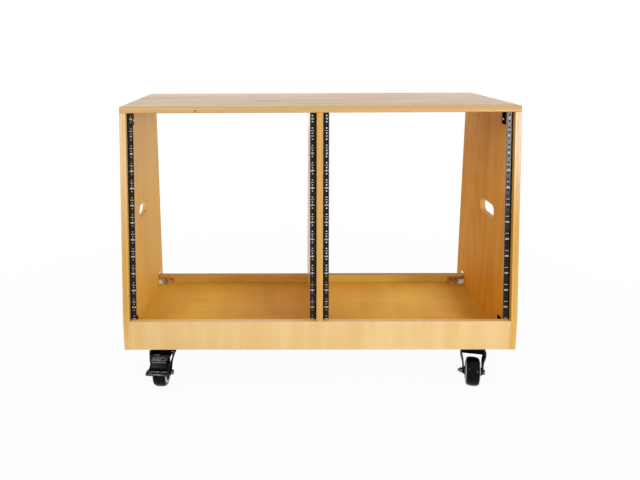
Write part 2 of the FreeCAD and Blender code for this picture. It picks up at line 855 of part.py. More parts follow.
dowel_spots = []
for across in (board / 2 - outer_half, ZERO, outer_half - board / 2):
    for back in top_dowel_backs:
        dowel_spots.append(spot(across, back, shelf - dowel_edge, (0, 0, 1)))
for back in divider_dowel_backs:
    dowel_spots.append(spot(ZERO, back, board - dowel_face, (0, 0, 1)))
for back, up in end_dowels:
    dowel_spots.append(spot(-wall - dowel_face, back, up, (1, 0, 0)))
    dowel_spots.append(spot(wall + dowel_face, back, up, (-1, 0, 0)))
nodes.append(copies("panel_dowels", dowel, dowel_spots))

# Caster sizes, measured from the ground under the swivel axis

plate_sheet = size("plate_thickness")
plate_half = size("plate_width") / 2
plate_low = case_up - plate_sheet
race_low = plate_low - size("race_height")
fork_high = race_low - size("race_gap")
fork_low = fork_high - size("fork_thickness")
trail = size("caster_trail")
wheel_radius = (case_up - size("wheel_headroom")) / 2
kingpin = size("kingpin_radius")
leg_sheet = size("fork_leg_thickness")
fork_outer_top = size("fork_outer_top")
fork_outer_axle = size("fork_outer_axle")
fork_inner_top = fork_outer_top - leg_sheet
fork_inner_axle = fork_outer_axle - leg_sheet
knee_high = fork_high - size("fork_knee_drop")
knee_low = wheel_radius + size("fork_knee_rise")
boss = size("fork_boss_radius")
axle_hole = size("axle_radius") + size("axle_play")
headroom = fork_low - wheel_radius * 2


def above_tyre(turn, share):
    """A point round the axle, by its turn in degrees from straight back and
    by its share of the room between the tyre and the fork's top."""
    reach = wheel_radius + headroom * share
    turn = math.radians(turn)
    return reach * math.cos(turn) - trail, reach * math.sin(turn) + wheel_radius


PEDAL_PIN_PLACE = (73.24, 0.625)
pin_back, pin_up = above_tyre(*PEDAL_PIN_PLACE)
pin_radius = size("pedal_pin_radius")
pin_hole = pin_radius + size("pedal_pin_play")


def on_pivot(body, across, back, angle, forward=ZERO, up=ZERO):
    """Put a caster piece under its pivot, turned about the swivel axis."""
    turn = FreeCAD.Rotation(FreeCAD.Vector(0, 0, 1), angle.value)
    reach = turn.multVec(FreeCAD.Vector(0, -forward.value, up.value))
    base = FreeCAD.Vector(across.value, (back - pivot_mid).value, 0).add(reach)
    body.Placement = FreeCAD.Placement(base, turn)


# Top plate with the upper race, screwed under the floor

def caster_plate(label, across, back):
    body = new_body(label)
    corner = size("plate_corner")
    plate = sketch_on(body, label + "_sheet", "XY_Plane", plate_low)
    inner = plate_half - corner
    outline(plate, [
        (-inner, -plate_half),
        (inner, -plate_half),
        (plate_half, -inner),
        (plate_half, inner),
        (inner, plate_half),
        (-inner, plate_half),
        (-plate_half, inner),
        (-plate_half, -inner),
    ])
    circle(plate, ZERO, ZERO, kingpin + size("press_play"))
    for side in (-1, 1):
        for end in (-1, 1):
            circle(plate, half_spacing * side, half_spacing * end, size("plate_hole_radius"))
    pad(body, label + "_plate", plate, plate_sheet)
    race = sketch_on(body, label + "_ring", "XY_Plane", race_low)
    circle(race, ZERO, ZERO, size("race_radius"))
    circle(race, ZERO, ZERO, kingpin + size("press_play"))
    pad(body, label + "_race", race, size("race_height"))
    on_pivot(body, across, back, ZERO)
    nodes.append(body)


# Kingpin: riveted through the plate, its head carries the fork

def caster_kingpin(label, across, back):
    body = new_body(label)
    section = sketch_on(body, label + "_section", "XZ_Plane")
    head_high = fork_low - size("kingpin_head_gap")
    head_low = head_high - size("kingpin_head_height")
    outline(section, [
        (ZERO, head_low),
        (size("kingpin_head_radius"), head_low),
        (size("kingpin_head_radius"), head_high),
        (kingpin, head_high),
        (kingpin, case_up),
        (ZERO, case_up),
    ])
    revolve(body, label + "_turned", section, "V_Axis")
    on_pivot(body, across, back, ZERO)
    nodes.append(body)


# Fork: pressed steel, a round top with two legs that lean in to the axle

FORK_FOOT_SHARE = 0.9
FORK_FOOT_DROP_SHARE = 0.4


def caster_fork(label, across, back, angle, braked):
    body = new_body(label)
    top_reach = -size("fork_top_reach")
    top_back = size("fork_top_back")
    leg = sketch_on(body, label + "_leg", "YZ_Plane", -fork_outer_top)
    foot = boss * FORK_FOOT_SHARE
    foot_up = wheel_radius - boss * FORK_FOOT_DROP_SHARE
    outline(leg, [
        (top_reach, fork_high),
        (-trail - boss, wheel_radius),
        (-trail - foot, foot_up),
        (-trail + foot, foot_up),
        (top_back, fork_high - size("fork_heel_drop")),
        (top_back, fork_high),
    ])
    pad(body, label + "_legs", leg, fork_outer_top * 2)
    end = sketch_on(body, label + "_end", "YZ_Plane", -fork_outer_top)
    circle(end, -trail, wheel_radius, boss)
    pad(body, label + "_boss", end, fork_outer_top * 2)
    disc = sketch_on(body, label + "_disc", "XY_Plane", fork_low)
    circle(disc, ZERO, ZERO, fork_outer_top)
    pad(body, label + "_top", disc, size("fork_thickness"))
    reach = trail + boss + overrun
    inside = sketch_on(body, label + "_inside", "XZ_Plane", reach)
    outline(inside, [
        (-fork_inner_top, fork_low),
        (fork_inner_top, fork_low),
        (fork_inner_top, knee_high),
        (fork_inner_axle, knee_low),
        (fork_inner_axle, ZERO),
        (-fork_inner_axle, ZERO),
        (-fork_inner_axle, knee_low),
        (-fork_inner_top, knee_high),
    ])
    pocket(body, label + "_hollow", inside, reach + fork_outer_top + overrun)
    outside = sketch_on(body, label + "_outside", "XZ_Plane", reach)
    for sign in (-1, 1):
        outline(outside, [
            (fork_outer_top * sign, knee_high),
            (fork_outer_axle * sign, knee_low),
            (fork_outer_axle * sign, ZERO),
            ((fork_outer_top + overrun) * sign, ZERO),
            ((fork_outer_top + overrun) * sign, knee_high),
        ])
    pocket(body, label + "_flanks", outside, reach + fork_outer_top + overrun)
    if not braked:
        rim = sketch_on(body, label + "_rim", "YZ_Plane", -fork_inner_top)
        rectangle(rim, top_reach, top_reach + leg_sheet, fork_low - size("fork_rim_depth"), fork_high)
        pad(body, label + "_front_rim", rim, fork_inner_top * 2)
    bore = sketch_on(body, label + "_bore", "XY_Plane", fork_high)
    circle(bore, ZERO, ZERO, kingpin + size("kingpin_play"))
    pocket(body, label + "_kingpin_hole", bore, size("fork_thickness") + overrun)
    cross = sketch_on(body, label + "_cross", "YZ_Plane", fork_outer_top + overrun)
    circle(cross, -trail, wheel_radius, axle_hole)
    if braked:
        circle(cross, pin_back, pin_up, pin_radius + size("press_play"))
    pocket(body, label + "_cross_holes", cross, (fork_outer_top + overrun) * 2)
    on_pivot(body, across, back, angle)
    nodes.append(body)


# Wheel: a hard grey core, a black tyre round it and a steel bush in its bore

rim_radius = wheel_radius - size("tyre_depth")
bush_radius = size("bush_radius")
hub_half = fork_inner_axle - size("hub_side_gap")
SHOULDER_SHARES = ((0.0, 1.0), (0.33, 0.42), (1.0, 0.0))


def mirrored(points):
    return points + [(-across, up) for across, up in reversed(points)]


def caster_tyre(label, across, back, angle):
    body = new_body(label)
    half = size("wheel_width") / 2
    shoulder = size("tyre_shoulder")
    section = sketch_on(body, label + "_section", "XY_Plane")
    points = [(half, rim_radius + size("press_play"))]
    for inward, below in SHOULDER_SHARES:
        points.append((half - shoulder * inward, wheel_radius - shoulder * below))
    outline(section, mirrored(points))
    revolve(body, label + "_turned", section, "H_Axis")
    on_pivot(body, across, back, angle, trail, wheel_radius)
    nodes.append(body)


def caster_core(label, across, back, angle):
    body = new_body(label)
    web = size("web_thickness") / 2
    rim_half = size("rim_width") / 2
    rim_in = rim_radius - size("rim_thickness")
    hub = size("hub_radius")
    section = sketch_on(body, label + "_section", "XY_Plane")
    outline(section, mirrored([
        (hub_half, bush_radius + size("bush_play")),
        (hub_half, hub),
        (web, hub),
        (web, rim_in),
        (rim_half, rim_in),
        (rim_half, rim_radius),
    ]))
    revolve(body, label + "_turned", section, "H_Axis")
    on_pivot(body, across, back, angle, trail, wheel_radius)
    nodes.append(body)


def caster_bush(label, across, back, angle):
    body = new_body(label)
    section = sketch_on(body, label + "_section", "XY_Plane")
    rectangle(section, -fork_inner_axle, fork_inner_axle, axle_hole, bush_radius)
    revolve(body, label + "_turned", section, "H_Axis")
    on_pivot(body, across, back, angle, trail, wheel_radius)
    nodes.append(body)


# Axle bolt and nut: zinc-plated, the head on the right and the nut on the left

HEXAGON_SIDES = 6


def hexagon(sketch, flats):
    corner = flats / 2 / math.cos(math.pi / HEXAGON_SIDES)
    points = []
    for side in range(HEXAGON_SIDES):
        turn = 2 * math.pi * side / HEXAGON_SIDES
        points.append((corner * math.cos(turn), corner * math.sin(turn)))
    outline(sketch, points)


def axle_bolt(label, across, back, angle):
    body = new_body(label)
    end = fork_outer_axle + size("axle_nut_height") + size("axle_thread_end")
    shank = sketch_on(body, label + "_shank", "YZ_Plane", -end)
    circle(shank, ZERO, ZERO, size("axle_radius"))
    pad(body, label + "_rod", shank, end + fork_outer_axle)
    head = sketch_on(body, label + "_hex", "YZ_Plane", fork_outer_axle)
    hexagon(head, size("axle_head_flats"))
    pad(body, label + "_head", head, size("axle_head_height"))
    on_pivot(body, across, back, angle, trail, wheel_radius)
    nodes.append(body)


def axle_nut(label, across, back, angle):
    body = new_body(label)
    height = size("axle_nut_height")
    section = sketch_on(body, label + "_hex", "YZ_Plane", -fork_outer_axle - height)
    hexagon(section, size("axle_nut_flats"))
    circle(section, ZERO, ZERO, size("axle_radius") + size("press_play"))
    pad(body, label + "_nut", section, height)
    on_pivot(body, across, back, angle, trail, wheel_radius)
    nodes.append(body)


# Brake pedal: folded sheet that hangs over the front of the wheel, with two
# ears on a cross pin between the fork legs. Each point is its turn round the
# axle and its share of the room above the tyre.

PEDAL_PLATE_SHARES = (
    (94.2, 0.968), (106.7, 1.037), (151.6, 0.320), (153.0, 0.175),
    (106.3, 0.866), (94.4, 0.822),
)
PEDAL_LIP_SHARES = (
    (150.4, 0.317), (160.5, 0.758), (163.3, 0.748), (153.1, 0.166),
)
PEDAL_EAR_SHARES = (
    (68.4, 0.950), (94.3, 0.919), (106.7, 0.978), (118.2, 0.573),
    (110.0, 0.196), (73.7, 0.294), (65.1, 0.567),
)


def above_tyres(places):
    return [above_tyre(turn, share) for turn, share in places]


def brake_pedal(label, across, back, angle):
    body = new_body(label)
    half = size("pedal_half_width")
    lip_half = size("pedal_lip_half_width")
    ear = size("pedal_ear_thickness")
    plate = sketch_on(body, label + "_sheet", "YZ_Plane", -half)
    outline(plate, above_tyres(PEDAL_PLATE_SHARES))
    pad(body, label + "_plate", plate, half * 2)
    edge = sketch_on(body, label + "_edge", "YZ_Plane", -lip_half)
    outline(edge, above_tyres(PEDAL_LIP_SHARES))
    pad(body, label + "_lip", edge, lip_half * 2)
    for name, near in (("left", -half), ("right", half - ear)):
        flank = sketch_on(body, label + "_%s_flank" % name, "YZ_Plane", near)
        outline(flank, above_tyres(PEDAL_EAR_SHARES))
        pad(body, label + "_%s_ear" % name, flank, ear)
    cross = sketch_on(body, label + "_cross", "YZ_Plane", half + overrun)
    circle(cross, pin_back, pin_up, pin_hole)
    pocket(body, label + "_pin_hole", cross, (half + overrun) * 2)
    on_pivot(body, across, back, angle)
    nodes.append(body)


def pedal_pin(label, across, back, angle):
    body = new_body(label)
    head = size("pedal_pin_head_height")
    rod = sketch_on(body, label + "_rod", "YZ_Plane", -fork_outer_top)
    circle(rod, pin_back, pin_up, pin_radius)
    pad(body, label + "_shank", rod, fork_outer_top * 2)
    for name, near in (("left", -fork_outer_top - head), ("right", fork_outer_top)):
        cap = sketch_on(body, label + "_%s_end" % name, "YZ_Plane", near)
        circle(cap, pin_back, pin_up, size("pedal_pin_head_radius"))
        pad(body, label + "_%s_head" % name, cap, head)
    on_pivot(body, across, back, angle)
    nodes.append(body)


CASTERS = (
    ("front_left", -1, front_pivot, "heading_front_left", True),
    ("front_right", 1, front_pivot, "heading_front_right", False),
    ("rear_left", -1, rear_pivot, "heading_rear_left", False),
    ("rear_right", 1, rear_pivot, "heading_rear_right", True),
)
for corner, side, back, swivel, braked in CASTERS:
    across = pivot_side * side
    angle = size(swivel)
    caster_plate(corner + "_caster_plate", across, back)
    caster_kingpin(corner + "_kingpin", across, back)
    caster_fork(corner + "_fork", across, back, angle, braked)
    caster_tyre(corner + "_tyre", across, back, angle)
    caster_core(corner + "_wheel_core", across, back, angle)
    caster_bush(corner + "_axle_bush", across, back, angle)
    axle_bolt(corner + "_axle_bolt", across, back, angle)
    axle_nut(corner + "_axle_nut", across, back, angle)
    if braked:
        brake_pedal(corner + "_brake_pedal", across, back, angle)
        pedal_pin(corner + "_pedal_pin", across, back, angle)

# Every object is checked before anything is written

doc.recompute()
for part in doc.Objects:
    if "Invalid" in part.State or "Error" in part.State:
        raise RuntimeError("%s failed: %s" % (part.Label, part.State))
for node in nodes:
    if node.Shape.isNull() or not node.Shape.isValid() or not node.Shape.Solids:
        raise RuntimeError("%s has no good shape" % node.Label)

os.makedirs("parts", exist_ok=True)
for node in nodes:
    node.Shape.exportStep("parts/%s.step" % node.Label)
    print(node.Label, len(node.Shape.Solids), round(node.Shape.Volume, 1))
print(len(nodes), "nodes")
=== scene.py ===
# Studio rack stand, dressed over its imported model. Lengths are in metres, in
# the model's own frame: +X the viewer's right, +Y the open back, +Z up.
import math
import bmesh
import bpy
from mathutils import Matrix, Vector


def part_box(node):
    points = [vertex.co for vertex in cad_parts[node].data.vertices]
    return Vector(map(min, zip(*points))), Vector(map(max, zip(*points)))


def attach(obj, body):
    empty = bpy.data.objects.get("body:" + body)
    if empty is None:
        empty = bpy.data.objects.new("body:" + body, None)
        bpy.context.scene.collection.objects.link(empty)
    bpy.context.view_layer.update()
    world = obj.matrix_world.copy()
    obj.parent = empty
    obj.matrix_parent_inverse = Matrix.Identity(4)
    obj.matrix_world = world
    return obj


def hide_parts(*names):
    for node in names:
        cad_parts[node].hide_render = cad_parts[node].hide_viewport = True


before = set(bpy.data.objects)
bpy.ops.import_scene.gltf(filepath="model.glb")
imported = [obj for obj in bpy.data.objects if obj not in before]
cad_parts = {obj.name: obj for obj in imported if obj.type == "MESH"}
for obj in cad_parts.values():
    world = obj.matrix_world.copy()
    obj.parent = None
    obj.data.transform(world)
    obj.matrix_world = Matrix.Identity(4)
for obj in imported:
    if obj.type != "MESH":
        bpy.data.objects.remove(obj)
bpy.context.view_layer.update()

MM = 0.001


# Bottom board: 16 mm birch plywood between the two side boards, glued and
# dowelled into them. It carries the middle board and, below, four casters.
# Sawn square, the edges broken with a sanding block, satin lacquer all over.

ACROSS_BOARD = {"X": (1, 2, 0), "Y": (2, 0, 1), "Z": (0, 1, 2)}


def drawn_in(loop, distance):
    """The loop moved to its left by the distance, with mitred corners."""
    moved = []
    for place, here in enumerate(loop):
        before = (here - loop[place - 1]).normalized()
        after = (loop[(place + 1) % len(loop)] - here).normalized()
        sideways = Vector((-before.y, before.x)) + Vector((-after.y, after.x))
        reach = 1 + before.dot(after)
        moved.append(here + sideways * (distance / max(reach, 0.1)))
    return moved


def eased(corners, radius, steps=4):
    """The outline's corners turned into short curves."""
    loop = []
    for place, corner in enumerate(corners):
        here = Vector(corner)
        before = Vector(corners[place - 1]) - here
        after = Vector(corners[(place + 1) % len(corners)]) - here
        cut = min(radius, before.length * 0.45, after.length * 0.45)
        start = here + before.normalized() * cut
        end = here + after.normalized() * cut
        for step in range(steps + 1):
            share = step / steps
            loop.append(start * (1 - share) ** 2 + here * (2 * share * (1 - share)) + end * share ** 2)
    return loop


def sawn(cuts, low, high, steps=3, groove=0.0, lining=0):
    """A flat piece from low to high. Each cut is a loop with the material on its
    left and the width of the round that its two edges get. A groove of that
    depth is turned into each cut after the first, as a thread is, and those
    cuts are lined with the finish of that number."""
    mesh = bmesh.new()
    rims = []
    for loop, arris in cuts:
        rings = []
        for step in range(steps + 1):
            turn = math.pi / 2 * step / steps
            rings.append((arris * (1 - math.sin(turn)), low + arris * (1 - math.cos(turn))))
        thread = []
        if groove and rims:
            thread = [(groove, low * (1 - share) + high * share) for share in (0.32, 0.68)]
            thread.insert(1, (0, (low + high) / 2))
        rings += thread + [(back, low + high - level) for back, level in reversed(rings)]
        walls = []
        for back, level in rings:
            walls.append([mesh.verts.new((spot.x, spot.y, level)) for spot in drawn_in(loop, back)])
        for lower, upper in zip(walls, walls[1:]):
            for here in range(len(loop)):
                after = (here + 1) % len(loop)
                wall = mesh.faces.new((lower[here], lower[after], upper[after], upper[here]))
                wall.material_index = lining if rims else 0
        rims.append((walls[0], walls[-1]))
    for side in (0, 1):
        if len(rims) == 1:
            mesh.faces.new(rims[0][side])
            continue
        edges = []
        for rim in rims:
            ring = rim[side]
            edges += [mesh.edges.get((spot, ring[place - 1])) for place, spot in enumerate(ring)]
        bmesh.ops.triangle_fill(mesh, use_beauty=True, edges=edges)
    bmesh.ops.recalc_face_normals(mesh, faces=mesh.faces)
    return mesh


def scored(mesh, direction, levels):
    """Cuts lines across a flat piece, so that it folds, curves or shades well."""
    for level in levels:
        everything = mesh.verts[:] + mesh.edges[:] + mesh.faces[:]
        bmesh.ops.bisect_plane(mesh, geom=everything, plane_co=Vector(direction) * level, plane_no=direction)
    return mesh


def squared(mesh, across, up):
    """Lines near the ends of a board, so that its wide faces are plain."""
    return scored(scored(mesh, (1, 0, 0), across), (0, 1, 0), up)


def moved(mesh, where):
    """Takes each point of a mesh to the place that the rule gives for it."""
    for vert in mesh.verts:
        vert.co = where(*vert.co)
    mesh.normal_update()
    bmesh.ops.recalc_face_normals(mesh, faces=mesh.faces)
    return mesh


def set_up(mesh, through):
    """Turns a flat piece so that its thickness lies along the named axis."""
    order = ACROSS_BOARD[through]
    return moved(mesh, lambda *flat: [flat[order.index(axis)] for axis in range(3)])


def joined(*parts):
    """One mesh from several, as pieces of one pressing or one board."""
    whole = parts[0]
    for part in parts[1:]:
        loose = bpy.data.meshes.new("loose")
        part.to_mesh(loose)
        part.free()
        whole.from_mesh(loose)
        bpy.data.meshes.remove(loose)
    return whole


def fit(name, mesh, finish, body, stands_for, place=None, flat_faced=True):
    """Puts a finished piece in its place on its body of the model."""
    shape = mesh
    if isinstance(mesh, bmesh.types.BMesh):
        shape = bpy.data.meshes.new(name)
        mesh.to_mesh(shape)
        mesh.free()
        shape.shade_smooth()
        shape.set_sharp_from_angle(angle=math.radians(38))
        shape.materials.append(finish)
    piece = bpy.data.objects.new(name, shape)
    bpy.context.scene.collection.objects.link(piece)
    if place is not None:
        piece.matrix_world = place
    if flat_faced:
        piece.modifiers.new("true_faces", "WEIGHTED_NORMAL").keep_sharp = True
    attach(piece, body)
    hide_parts(*stands_for)
    return piece


class Finish:
    """A finish being mixed: each method adds a step and gives what it puts out."""

    def __init__(self, name, kind=bpy.data.materials):
        self.made = kind.new(name)
        self.made.use_nodes = True
        self.nodes = self.made.node_tree.nodes
        self.surface = self.nodes.get("Principled BSDF") or self.nodes["Background"]

    def feed(self, socket, source):
        if isinstance(source, bpy.types.NodeSocket):
            self.made.node_tree.links.new(source, socket)
        else:
            socket.default_value = source

    def step(self, kind, feeds, **settings):
        node = self.nodes.new("ShaderNode" + kind)
        for setting, value in settings.items():
            setattr(node, setting, value)
        for socket, source in feeds.items():
            self.feed(node.inputs[socket], source)
        return node

    def sum(self, operation, *values):
        return self.step("Math", dict(enumerate(values)), operation=operation).outputs[0]

    def spot(self, kind="Object"):
        return self.step("TexCoord", {}).outputs[kind]

    def places(self, kind="Object"):
        return self.step("SeparateXYZ", {0: self.spot(kind)}).outputs

    def stretched(self, along, across, through, start):
        return self.step("CombineXYZ", {
            "X": self.sum("MULTIPLY_ADD", along[0], along[1], start),
            "Y": self.sum("MULTIPLY_ADD", across[0], across[1], start),
            "Z": self.sum("MULTIPLY", through[0], through[1]),
        }).outputs[0]

    def cloud(self, spot, scale=1.0, detail=3.0, rough=0.55):
        feeds = {"Vector": spot, "Scale": scale, "Detail": detail, "Roughness": rough}
        return self.step("TexNoise", feeds).outputs["Fac"]

    def between(self, value, low, high, bottom=0.0, top=1.0):
        feeds = {"Value": value, "From Min": low, "From Max": high, "To Min": bottom, "To Max": top}
        return self.step("MapRange", feeds, interpolation_type="SMOOTHSTEP").outputs[0]

    def mix(self, share, first, second, kind="MIX"):
        node = self.step("Mix", {0: share, 6: first, 7: second}, data_type="RGBA", blend_type=kind)
        return node.outputs[2]

    def shape(self, height, strength, depth):
        bump = self.step("Bump", {"Height": height, "Strength": strength, "Distance": depth})
        self.feed(self.surface.inputs["Normal"], bump.outputs[0])

    def worn_and_highlit_edges(self, width, patches):
        """How far the finish has gone from the edges, more in some patches: partly wear, partly a painted highlight
        along the edges.
        """
        rounded = self.step("Bevel", {"Radius": width}, samples=6).outputs[0]
        plain = self.step("NewGeometry", {}).outputs["True Normal"]
        turned = self.step("VectorMath", {0: rounded, 1: plain}, operation="DOT_PRODUCT").outputs["Value"]
        bare_or_highlit = self.between(turned, 0.985, 0.86)
        return self.sum("MULTIPLY", bare_or_highlit, self.between(patches, 0.35, 0.6, 0.35, 1.0))

    def give(self, **inputs):
        for name, source in inputs.items():
            self.feed(self.surface.inputs[name.replace("_", " ")], source)
        return self.made


def paint(red, green, blue):
    return (red, green, blue, 1.0)


BOARD = 16 * MM
PLIES = 11
END_LINE = 3 * MM
KNOT_BROWN = paint(0.30, 0.13, 0.03)


def birch(name, through, along, low, start, face, edge, figure=0.14, flame=0.12, lines=0.2, tone_ramps=(),
          knots=(), polish=(0.03, 0.5), back=None):
    """Lacquered birch plywood: a face veneer with its grain along one axis and,
    on the sawn edges, the plies counted from the low side of the board. Face
    and edge are each a pale and a deep colour. Tone ramps change the tone along an
    axis from one level to another, on the face and on the edges; some of them are
    painted shade, as said where they are given. The arrises are lighter, partly
    wear and partly a painted highlight. Knots are small brown spots. Polish is how
    strong and how rough the sheen is. Back is the side, 1 or -1 along the
    thickness, that gets other colours than the face, and those colours."""
    finish = Finish(name)
    spot = finish.places()
    across = ({"X", "Y", "Z"} - {through, along}).pop()
    run, side, depth = spot[along], spot[across], spot[through]

    def grain(length, width, thickness, shift=1.0, **kind):
        return finish.cloud(finish.stretched((run, length), (side, width), (depth, thickness), start * shift), **kind)

    fibre = grain(9.0, 520.0, 60.0, detail=5, rough=0.65)
    streak = grain(2.6, 58.0, 9.0, 1.7, detail=3)
    board = grain(1.3, 5.0, 2.0, 2.3, detail=2)
    rings = grain(1.05, 7.5, 3.0, 3.1, detail=1.5, rough=0.4)
    contour = finish.between(finish.sum("SINE", finish.sum("MULTIPLY", rings, 74.0)), 0.1, 1.0)
    bars = grain(24.0, 3.2, 3.0, 0.7, detail=2, rough=0.5)
    pores = grain(130.0, 1500.0, 90.0, detail=1)
    fleck = finish.between(pores, 0.66, 0.8)
    tone = finish.sum("MULTIPLY_ADD", finish.between(fibre, 0.32, 0.68), lines, 0.04)
    for value, share in ((finish.between(streak, 0.3, 0.7), lines), (finish.between(board, 0.3, 0.7), 0.3),
                         (finish.between(bars, 0.3, 0.7), flame), (contour, figure), (fleck, 0.3)):
        tone = finish.sum("MULTIPLY_ADD", value, share, tone)
    figured = finish.sum("MINIMUM", tone, 1.0)
    veneer = finish.mix(figured, paint(*face[0]), paint(*face[1]))
    layer = finish.sum("DIVIDE", finish.sum("SUBTRACT", depth, low), BOARD / PLIES)
    count = finish.sum("FLOOR", layer)
    crossed = finish.sum("MODULO", count, 2.0)
    bands = grain(0.7, 0.7, 250.0, detail=1, rough=0.4)
    seam = finish.sum("ABSOLUTE", finish.sum("SUBTRACT", finish.sum("FRACT", layer), 0.5))
    saw = grain(45.0, 45.0, 1300.0, detail=4, rough=0.7)
    end_grain = grain(700.0, 700.0, 900.0, detail=2)
    tone = finish.sum("MULTIPLY", crossed, 0.24)
    for value, share in ((finish.between(bands, 0.4, 0.6), 0.55), (finish.between(saw, 0.35, 0.65), 0.22),
                         (finish.between(end_grain, 0.5, 0.7), 0.14), (finish.between(seam, 0.4, 0.5), 0.28)):
        tone = finish.sum("MULTIPLY_ADD", value, share, tone)
    plies = finish.mix(finish.sum("MINIMUM", tone, 1.0), paint(*edge[0]), paint(*edge[1]))
    facing = finish.places("Normal")
    flat = finish.between(finish.sum("ABSOLUTE", facing[through]), 0.35, 0.8)
    colour = finish.mix(flat, plies, veneer)
    squareness = finish.sum("MAXIMUM", finish.sum("ABSOLUTE", facing["X"]), finish.sum("ABSOLUTE", facing["Y"]))
    squareness = finish.sum("MAXIMUM", squareness, finish.sum("ABSOLUTE", facing["Z"]))
    # Arrises lightened towards the pale edge colour: partly lacquer worn through, partly a painted highlight along the
    # rounded edges.
    worn_and_highlit_arris = finish.between(squareness, 0.97, 0.8, 0.0, 0.3)
    colour = finish.mix(worn_and_highlit_arris, colour, paint(*edge[0]))
    tint = paint(1, 1, 1)
    # Each ramp tints the colour along an axis; on the bottom board and on the top board's edges this is painted shade.
    for axis, near, far, on_face, on_edge in tone_ramps:
        ramp_tone = finish.mix(flat, paint(*on_edge), paint(*on_face))
        tint = finish.mix(finish.between(spot[axis], near, far), tint, ramp_tone)
    if tone_ramps:
        colour = finish.mix(1.0, colour, tint, "MULTIPLY")
    if back:
        turned = finish.between(finish.sum("MULTIPLY", facing[through], back[0]), 0.35, 0.8)
        colour = finish.mix(turned, colour, finish.mix(figured, paint(*back[1]), paint(*back[2])))
    for place, radius in knots:
        middle = finish.step("VectorMath", {0: finish.spot(), 1: place}, operation="DISTANCE")
        ragged = finish.between(end_grain, 0.3, 0.7)
        ring = finish.sum("MULTIPLY_ADD", ragged, radius * 0.4, middle.outputs["Value"])
        colour = finish.mix(finish.between(ring, radius, radius * 0.5, 0.0, 0.85), colour, KNOT_BROWN)
    finish.shape(finish.sum("ADD", fibre, finish.sum("MULTIPLY", fleck, -0.5)), 0.16, 0.12 * MM)
    sheen = finish.between(streak, 0.3, 0.7, polish[1] - 0.05, polish[1] + 0.07)
    return finish.give(Base_Color=colour, Roughness=sheen, Specular_IOR_Level=polish[0])


def box_board(name, node, through, finish, arris, seam=0.0):
    """A square-cut board that fills the node's box, or stops a seam short of
    its ends."""
    low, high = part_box(node)
    low.x += seam
    high.x -= seam
    along, up, thick = ACROSS_BOARD[through]
    corners = [(low[along], low[up]), (high[along], low[up]), (high[along], high[up]), (low[along], high[up])]
    mesh = sawn([(eased(corners, arris), arris)], low[thick], high[thick])
    squared(mesh, *[(low[axis] + END_LINE, high[axis] - END_LINE) for axis in (along, up)])
    return fit(name, set_up(mesh, through), finish, "case", [node])


floor_low, floor_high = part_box("floor_panel")
# The bottom board's face is tinted darker and browner towards the right end of each bay: partly painted shade from the
# middle board and the right side board, partly a change of tone.
floor_birch = birch("floor_birch", "Z", "X", floor_low.z, 3.0, ((0.98, 0.65, 0.13), (0.80, 0.41, 0.045)),
                    ((0.84, 0.60, 0.32), (0.66, 0.42, 0.19)), figure=0.1, flame=0.24, lines=0.1, tone_ramps=(
                        ("X", -0.6, -0.55, (0.92, 0.87, 0.62), (1, 1, 1)),
                        ("X", -0.38, -0.1, (0.76, 0.62, 0.53), (1, 1, 1)),
                        ("X", -0.02, 0.02, (1.0, 0.96, 0.80), (1, 1, 1)),
                        ("X", 0.1, 0.24, (1.0, 0.99, 1.0), (1, 1, 1)),
                        ("X", 0.36, 0.47, (0.72, 0.57, 0.34), (1, 1, 1))))
box_board("bottom_board", "floor_panel", "Z", floor_birch, 0.4 * MM)


# Kickboard: the upright 16 mm board across the front, flush with the front
# edges of the side boards. It hides the space behind and stiffens the case.

kick_low, kick_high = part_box("front_kickboard")
kick_birch = birch("kick_birch", "Y", "X", kick_low.y, 11.0, ((0.84, 0.60, 0.28), (0.74, 0.47, 0.18)),
                   ((0.84, 0.58, 0.26), (0.66, 0.40, 0.15)), figure=0.04, flame=0.5, lines=0.08, polish=(0.2, 0.4),
                   knots=(((0.135, kick_low.y, kick_high.z - 1.5 * MM), 2.6 * MM),))
box_board("kick_board", "front_kickboard", "Y", kick_birch, 0.8 * MM, seam=0.25 * MM)


# Rear batten: a low strip of the same plywood across the open back, between
# the side boards. It keeps what stands on the bottom board from sliding out.

batten_low, batten_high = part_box("rear_lip")
# Left of the middle, the batten's faces are tinted darker and pinker. Its rear face gets the kickboard's paler tones.
batten_birch = birch("batten_birch", "Y", "X", batten_low.y, 17.0, ((0.82, 0.66, 0.17), (0.66, 0.48, 0.10)),
                     ((0.62, 0.36, 0.10), (0.46, 0.24, 0.06)),
                     tone_ramps=(("X", 0.02, -0.02, (0.95, 0.78, 0.77), (1, 1, 1)),),
                     back=(1, (0.84, 0.59, 0.28), (0.73, 0.46, 0.18)))
box_board("rear_batten", "rear_lip", "Y", batten_birch, 1.0 * MM)


# Side boards: 16 mm plywood with the grain upright, the front edge sawn to
# the lean above the kickboard, and a hand slot with rounded ends in each.
# The slot's edges are routed rounder than the rest, to be kind to the hand.

SLOT_MIDDLE = Vector((14 * MM, 420 * MM))
SLOT_LENGTH = 118 * MM
SLOT_HEIGHT = 37 * MM
SLOT_ROUND = 2.6 * MM
SLOT_LINE_ASIDE = 66 * MM
SLOT_LINE_ABOVE = 25 * MM
SIDE_ARRIS = 1.1 * MM
SLOT_STEPS = 14

top_low, top_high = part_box("top_panel")
case_front = kick_low.y
case_back = top_high.y
lean_start = kick_high.z
shelf = top_low.z
shelf_front = top_low.y


def hand_slot():
    """The slot as a clockwise loop, with the wood on its left."""
    radius = SLOT_HEIGHT / 2
    loop = []
    for end, first_turn in ((1, math.pi / 2), (-1, -math.pi / 2)):
        middle = SLOT_MIDDLE + Vector(((SLOT_LENGTH / 2 - radius) * end, 0))
        for step in range(SLOT_STEPS + 1):
            turn = first_turn - math.pi * step / SLOT_STEPS
            loop.append(middle + Vector((math.cos(turn), math.sin(turn))) * radius)
    return loop
